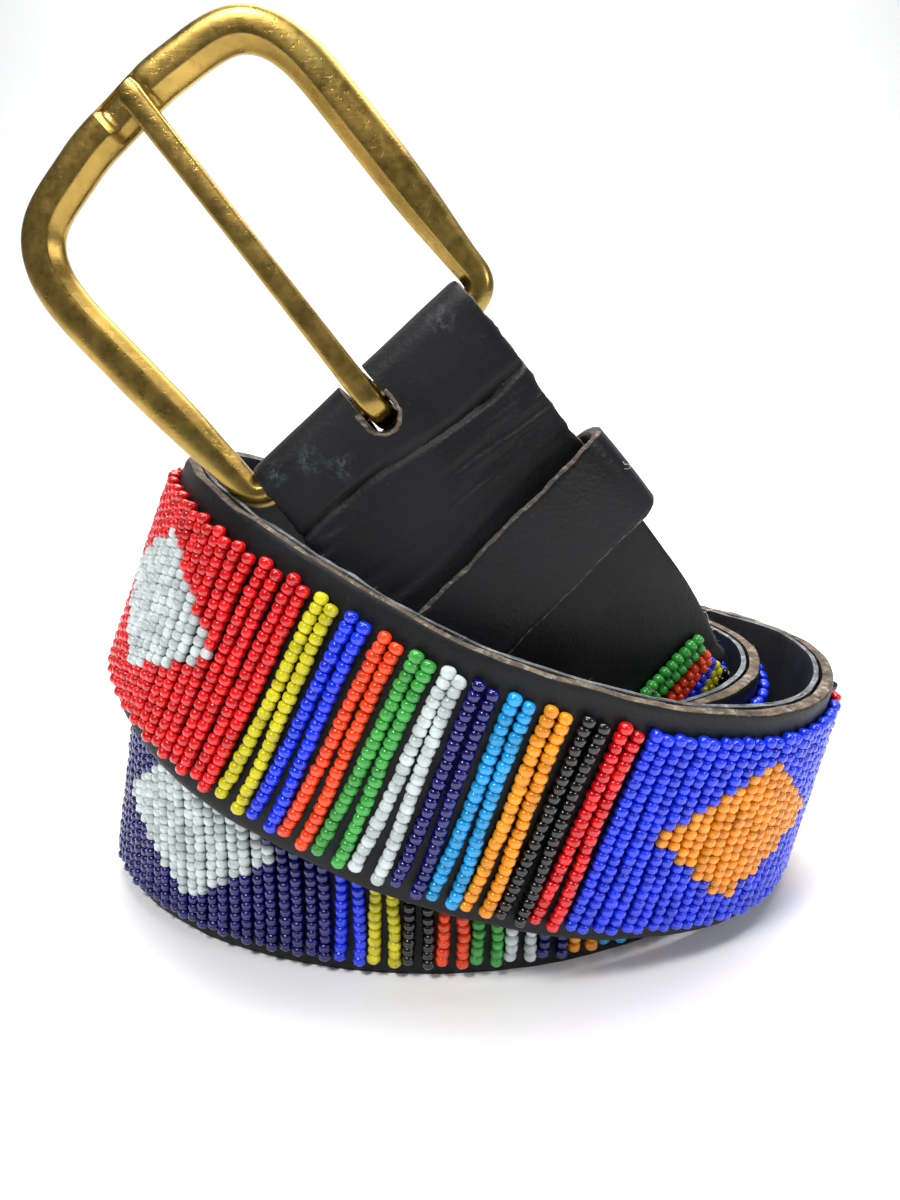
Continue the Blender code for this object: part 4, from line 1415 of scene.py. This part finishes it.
@dataclass
class BuckleFrame:
    """Cast frame with its bar, its bevelled rails and the tongue's seat."""

    axes: BuckleAxes
    width: float = 0.0555
    reach: float = 0.0570
    rail_width: float = 0.0064
    rail_thickness: float = 0.0038
    foot_width: float = 0.0046
    inner_limit: float = 0.0205
    foot_length: float = 0.0112
    top_half: float = 0.0065
    seat_half: float = 0.0033
    seat_shift: float = 0.0014
    seat_lip: float = 0.0008
    seat_depth: float = 0.0010
    rings: int = 300
    rows: tuple[tuple[float, float, float, float], ...] = (
        (0.270, 0.000, 0.00, 1.0), (0.720, 0.000, 0.00, 1.0), (0.840, 0.004, 0.35, 1.0),
        (0.905, 0.030, 0.80, 1.0), (0.930, 0.085, 1.00, 1.0), (0.935, 0.170, 1.00, 0.7),
        (0.955, 0.300, 1.00, 0.2), (0.975, 0.450, 1.00, 0.0), (0.990, 0.600, 1.00, 0.0),
        (1.000, 0.720, 1.00, 0.0), (0.985, 0.810, 1.00, 0.0), (0.930, 0.885, 1.00, 0.0),
        (0.830, 0.940, 1.00, 0.0), (0.680, 0.970, 1.00, 0.0), (0.450, 0.988, 1.00, 0.0))
    passes: int = 10
    section: Pairs = (
        (-1.00, -0.20), (-0.99, 0.00), (-0.955, 0.14), (-0.80, 0.41), (-0.64, 0.69),
        (-0.52, 0.89), (-0.47, 0.955), (-0.41, 0.985), (-0.20, 1.01), (0.05, 1.02),
        (0.30, 1.00), (0.55, 0.93), (0.74, 0.80), (0.88, 0.58), (0.97, 0.28),
        (1.00, -0.05), (0.97, -0.40), (0.86, -0.70), (0.68, -0.90), (0.40, -0.99),
        (0.05, -1.00), (-0.30, -1.00), (-0.62, -0.95), (-0.84, -0.78), (-0.96, -0.50))

    def path(self) -> np.ndarray:
        """Centre line as rows of across, up, flatness, rail width and seat depth.

        Returns:
            One row for each ring.
        """
        rail_half = self.width / 2.0 - self.rail_width / 2.0
        rail_up = self.reach - self.rail_width / 2.0
        half = []
        for across, up, flat, foot in self.rows:
            wide = self.rail_width + (self.foot_width - self.rail_width) * foot
            place = across * rail_half
            height = up * rail_up
            if BAR_RADIUS / 2.0 < height < self.foot_length:
                place = max(place, self.inner_limit + wide / 2.0)
            half.append((place, height, flat, wide))
        top = [(side * self.top_half, rail_up, 1.0, self.rail_width) for side in (1.0, 0.0, -1.0)]
        rows = half + top + [(-a, b, c, d) for a, b, c, d in reversed(half)]
        path = closed_curve(np.array(rows), self.rings)
        for _ in range(self.passes):
            path = (np.roll(path, 1, axis=0) + 2.0 * path + np.roll(path, -1, axis=0)) / 4.0
        return path

    def build(self, brass: Material) -> None:
        """Build the frame.

        Args:
            brass: Material of the piece.
        """
        path = self.path()
        ahead = unit(np.roll(path[:, :2], -1, axis=0) - np.roll(path[:, :2], 1, axis=0))
        outside = np.stack([ahead[:, 1], -ahead[:, 0]], axis=1)
        section = np.array(self.section)
        angle = np.arctan2(section[:, 1], section[:, 0])
        round_part = np.stack([np.cos(angle), np.sin(angle)], axis=1) * BAR_RADIUS
        points = []
        for row, away in zip(path, outside):
            flat = min(1.0, max(0.0, row[2]))
            shaped = section * np.array([row[3] / 2.0, self.rail_thickness / 2.0])
            if row[1] > self.reach * 0.8:
                into = (self.seat_half + self.seat_lip - abs(row[0] - self.seat_shift)) / self.seat_lip
                shaped[:, 1] -= self.seat_depth * eased(into) * (section[:, 1] > 0.3)
            ring = round_part * (1.0 - flat) + shaped * flat
            points.append(np.stack([row[0] + away[0] * ring[:, 0], row[1] + away[1] * ring[:, 0], ring[:, 1]],
                                   axis=1))
        vertices = self.axes.points(np.concatenate(points))
        faces = loop_faces(len(path), len(section), True)
        piece = new_object("brass_frame", vertices, outward_faces(vertices, faces), (brass,), sharp_deg=40.0)
        attach(piece, "frame", ("buckle_frame",))


@dataclass
class BuckleTongue:
    """Prong that hooks round the bar and rests in the frame's seat."""

    axes: BuckleAxes
    frame: BuckleFrame
    width: float = 0.0036
    thickness: float = 0.0022
    skew_deg: float = 3.4
    clearance: float = 0.0004
    seat_clearance: float = 0.0003
    rest_share: float = 0.60
    squareness: float = 0.55
    sides: int = 20

    def section(self, wide: float, thick: float) -> np.ndarray:
        """Section with a flat top, soft corners and rounded sides.

        Args:
            wide: Share of the full width.
            thick: Share of the full thickness.

        Returns:
            Points across and front.
        """
        turn = np.linspace(0.0, 2.0 * math.pi, self.sides, endpoint=False)
        across = np.sign(np.cos(turn)) * np.abs(np.cos(turn)) ** self.squareness * self.width / 2.0 * wide
        front = np.sign(np.sin(turn)) * np.abs(np.sin(turn)) ** self.squareness * self.thickness / 2.0 * thick
        return np.stack([across, front], axis=1)

    def build(self, brass: Material) -> None:
        """Build the tongue.

        Args:
            brass: Material of the piece.
        """
        inner = BAR_RADIUS + self.clearance
        middle = inner + self.thickness / 2.0
        rail_inner = self.frame.reach - self.frame.rail_width
        tip = self.frame.reach - self.frame.rail_width * (1.0 - self.rest_share)
        seat = self.frame.rail_thickness / 2.0 + self.seat_clearance + self.thickness / 2.0
        skew = math.tan(math.radians(self.skew_deg))
        rings = []
        for share in np.linspace(1.0, 0.0, 44):
            up = share * tip
            end = eased((tip - up + 0.0002) / 0.0012)
            wide = (0.80 + 0.20 * end) * (1.0 - 0.06 * math.sin(math.pi * share))
            front = middle + (seat - middle) * min(1.0, up / rail_inner)
            ring = self.section(wide, 0.78 + 0.22 * end)
            rings.append(np.stack([ring[:, 0] + up * skew, np.full(self.sides, up),
                                   ring[:, 1] + front], axis=1))
        for turn in np.radians(np.linspace(90.0, 345.0, 40))[1:]:
            ring = self.section(1.0, 1.0)
            radius = middle + ring[:, 1]
            rings.append(np.stack([ring[:, 0], radius * math.cos(turn), radius * math.sin(turn)], axis=1))
        vertices = self.axes.points(np.concatenate(rings))
        faces = loop_faces(len(rings), self.sides, False)
        piece = new_object("brass_tongue", vertices, outward_faces(vertices, faces), (brass,), sharp_deg=60.0)
        attach(piece, "prong", ("tongue",))


@dataclass
class LooseFibres:
    """Threads and fuzz that stand off the cut edges."""

    route: Route
    fuzz_start: float = 0.016
    under_foot: tuple[float, float] = (0.582, 0.618)
    fuzz_count: int = 1500
    fuzz_radius: float = 0.000022
    ruffle_count: int = 160
    ruffle: tuple[float, float] = (0.0305, 0.0445)
    ruffle_radius: float = 0.000026
    root: float = 0.0001
    edge_out: tuple[float, float] = (-0.0003, 0.0016)
    thread_radius: float = 0.00006
    edge_threads: Pairs = (
        (0.060, 0.0016), (0.063, 0.0024), (0.066, 0.0020), (0.069, 0.0030), (0.0715, 0.0022))
    keeper_threads: Pairs = ((0.0345, 0.0060), (0.0352, 0.0064))
    rng: np.random.Generator = field(default_factory=lambda: np.random.default_rng(SEED + 4))

    def curl(self, along: float, across: float, out: float, length: float, bend: float) -> np.ndarray:
        """Points of one fibre that leaves the strap and curls.

        Args:
            along: Where it leaves along the strap.
            across: Where it leaves across the strap.
            out: Where it leaves out of the strap.
            length: Length of the fibre.
            bend: How far it curls, in turns.

        Returns:
            Points of the fibre.
        """
        start, direction, width, outward = self.route.single(along)
        start = start + width * across + outward * out
        away = unit(width * math.copysign(1.0, across) + outward * self.rng.normal(0.0, 0.5)
                    + direction * self.rng.normal(0.0, 0.5))
        other = unit(np.cross(away, self.rng.normal(0.0, 1.0, 3)))
        share = np.linspace(0.0, 1.0, 7)[:, None]
        turn = share * bend * 2.0 * math.pi
        radius = length / max(0.2, bend * 2.0 * math.pi)
        points = start + away * np.sin(turn) * radius + other * (1.0 - np.cos(turn)) * radius
        points[:, 2] = np.maximum(points[:, 2], 0.0001 + 0.00003 * np.arange(len(points)))
        return points

    def join(self, name: str, strands: list[tuple[np.ndarray, float]], material: Material) -> None:
        """Join tubes along all the strands into one piece.

        Args:
            name: Name of the piece.
            strands: Points and radius of each strand.
            material: Material of the strands.
        """
        vertices = []
        faces = []
        count = 0
        for points, radius in strands:
            some, more = tube(points, radius)
            faces += [tuple(v + count for v in face) for face in more]
            vertices.append(some)
            count += len(some)
        attach(new_object(name, np.concatenate(vertices), faces, (material,)), "strap")

    def build(self) -> None:
        """Build the fuzz on the edges and the few long threads."""
        root = HALF_WIDTH - self.root
        fuzz = []
        for _ in range(self.fuzz_count):
            along = self.rng.uniform(0.0, self.route.length - TIP_LENGTH)
            side = -1.0 if along < 0.09 and self.rng.random() < 0.4 else 1.0
            if along < self.fuzz_start or self.under_foot[0] < along < self.under_foot[1]:
                continue
            out = self.rng.uniform(*self.edge_out)
            length = abs(self.rng.normal(0.00045, 0.00025)) + 0.0002
            strand = self.curl(along, side * root, out, length, self.rng.uniform(0.1, 0.35))
            fuzz.append((strand, self.fuzz_radius))
        for _ in range(self.ruffle_count):
            along = self.rng.uniform(*self.ruffle)
            strand = self.curl(along, -root, self.rng.uniform(-0.0026, 0.0016),
                               self.rng.uniform(0.0003, 0.0012), 0.3)
            fuzz.append((strand, self.ruffle_radius))
        fibre = Yarn("leather_fibre", (0.42, 0.33, 0.23)).material()
        self.join("edge_fuzz", fuzz, fibre)
        threads = []
        for along, length in self.edge_threads:
            threads.append((self.curl(along, root, 0.0012, length, 0.30), self.thread_radius))
        for along, out in self.keeper_threads:
            strand = self.curl(along, HALF_WIDTH + 0.0016, out, 0.0026, 0.75)
            threads.append((strand, self.thread_radius))
        for lean in (0.2, 0.45, 0.6):
            strand = self.curl(0.0672, 0.0040 + lean * 0.0006, 0.0042, 0.0014, lean)
            threads.append((strand, 0.00005))
        white = Yarn("white_thread", (0.55, 0.54, 0.52)).material()
        self.join("loose_threads", threads, white)


@dataclass(frozen=True)
class Studio:
    """Pale sweep, soft lights and the camera."""

    position: Triple = (-0.003222, -0.162148, 0.0937)
    pitch_deg: float = 15.5
    lens: float = 26.4
    sensor: float = 36.0
    aim: Triple = (0.0, 0.0, 0.05)
    lights: tuple[tuple[str, Triple, float, float], ...] = (
        ("key_light", (-0.30, -0.40, 0.75), 0.16, 4.6),
        ("top_light", (0.10, 0.15, 0.90), 0.60, 8.0),
        ("fill_light", (0.75, -0.45, 0.55), 0.30, 2.4),
        ("wall_light", (0.0, 0.60, 1.20), 1.20, 15.0))
    air: tuple[float, float, float, float] = (0.85, 0.88, 0.92, 1.0)
    air_strength: float = 0.22
    sweep_half: float = 3.0
    sweep_front: float = -1.6
    sweep_back: float = 0.60
    sweep_radius: float = 0.60
    sweep_top: float = 3.0
    sweep_drop: float = 0.00005

    def sweep(self) -> None:
        """Floor that curves up into a wall behind the belt."""
        turn = np.linspace(0.0, math.pi / 2.0, 24)
        back, radius, half = self.sweep_back, self.sweep_radius, self.sweep_half
        profile = [(self.sweep_front, 0.0)]
        profile += [(back + radius * math.sin(t), radius * (1.0 - math.cos(t))) for t in turn]
        profile.append((back + radius, self.sweep_top))
        vertices = np.array([(x, y, z - self.sweep_drop) for y, z in profile for x in (-half, half)])
        faces = [(2 * i, 2 * i + 1, 2 * i + 3, 2 * i + 2) for i in range(len(profile) - 1)]
        made = Shader("pale_paper")
        tone = made.ramp(made.noise(3.0, 3.0), 0.3, 0.7)
        colour = made.mix(tone, (0.93, 0.93, 0.93), (0.96, 0.96, 0.955))
        paper = made.finish(Base_Color=colour, Roughness=0.9)
        new_object("sweep", vertices, faces, (paper,))

    def light(self, name: str, place: Triple, size: float, power: float) -> None:
        """Square soft light that faces the belt.

        Args:
            name: Name of the light.
            place: Where it stands.
            size: Length of its side.
            power: Its power in watts.
        """
        data = bpy.data.lights.new(name, "AREA")
        data.size = size
        data.energy = power
        thing = linked(name, data)
        thing.location = place
        aim = Vector(self.aim) - Vector(place)
        thing.rotation_euler = aim.to_track_quat("-Z", "Y").to_euler()

    def build(self) -> None:
        """Build the studio and set the camera."""
        self.sweep()
        for name, place, size, power in self.lights:
            self.light(name, place, size, power)
        world = bpy.data.worlds.new("studio_air")
        world.use_nodes = True
        background = world.node_tree.nodes["Background"]
        background.inputs["Color"].default_value = self.air
        background.inputs["Strength"].default_value = self.air_strength
        bpy.context.scene.world = world
        # The default view transform washes the bead colours out
        bpy.context.scene.view_settings.view_transform = "Standard"
        data = bpy.data.cameras.new("camera")
        data.sensor_fit = "VERTICAL"
        data.sensor_height = self.sensor
        data.lens = self.lens
        data.clip_start = 0.01
        camera = linked("camera", data)
        camera.location = self.position
        camera.rotation_euler = (math.radians(90.0 - self.pitch_deg), 0.0, 0.0)
        bpy.context.scene.camera = camera


SCUFFS = ((0.004, 0.0150), (0.006, -0.0120), (0.010, -0.0090), (0.0035, -0.0170))
SCUFF_OUT = 0.0018


def main() -> None:
    """Build every sub-assembly in order."""
    logging.basicConfig(level=logging.INFO)
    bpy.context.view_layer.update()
    Studio().build()
    route = Route()
    scuffs = tuple(tuple(float(v) for v in route.place(along, across, SCUFF_OUT)[0])
                   for along, across in SCUFFS)
    leather = GrainLeather("black_grain", scuffs=scuffs).material()
    face_edge = RawEdge("raw_edge", (0.045, 0.038, 0.034), (0.17, 0.125, 0.085),
                        (0.40, 0.34, 0.27)).material()
    lining = GrainLeather("grey_lining", (0.010, 0.0105, 0.012), (0.028, 0.029, 0.032), 0.26, 0.46,
                          0.00003).material()
    lining_edge = RawEdge("lining_edge", (0.07, 0.072, 0.078), (0.19, 0.20, 0.21),
                          (0.38, 0.39, 0.40)).material()
    Strap(route).build(leather, face_edge, lining, lining_edge)
    Beadwork(route).build()
    keeper_leather = GrainLeather("keeper_black", grain=0.00008, rough_low=0.40, rough_high=0.6).material()
    keeper_edge = RawEdge("keeper_raw_edge", (0.03, 0.028, 0.027), (0.09, 0.075, 0.06),
                          (0.24, 0.20, 0.16)).material()
    Keeper(route).build(keeper_leather, keeper_edge)
    axes = BuckleAxes(route)
    buckle = BuckleFrame(axes)
    buckle.build(OldBrass("frame_old_brass").material())
    BuckleTongue(axes, buckle).build(OldBrass("tongue_old_brass", bright=(0.46, 0.30, 0.08)).material())
    LooseFibres(route).build()


if __name__ == "__main__":
    main()
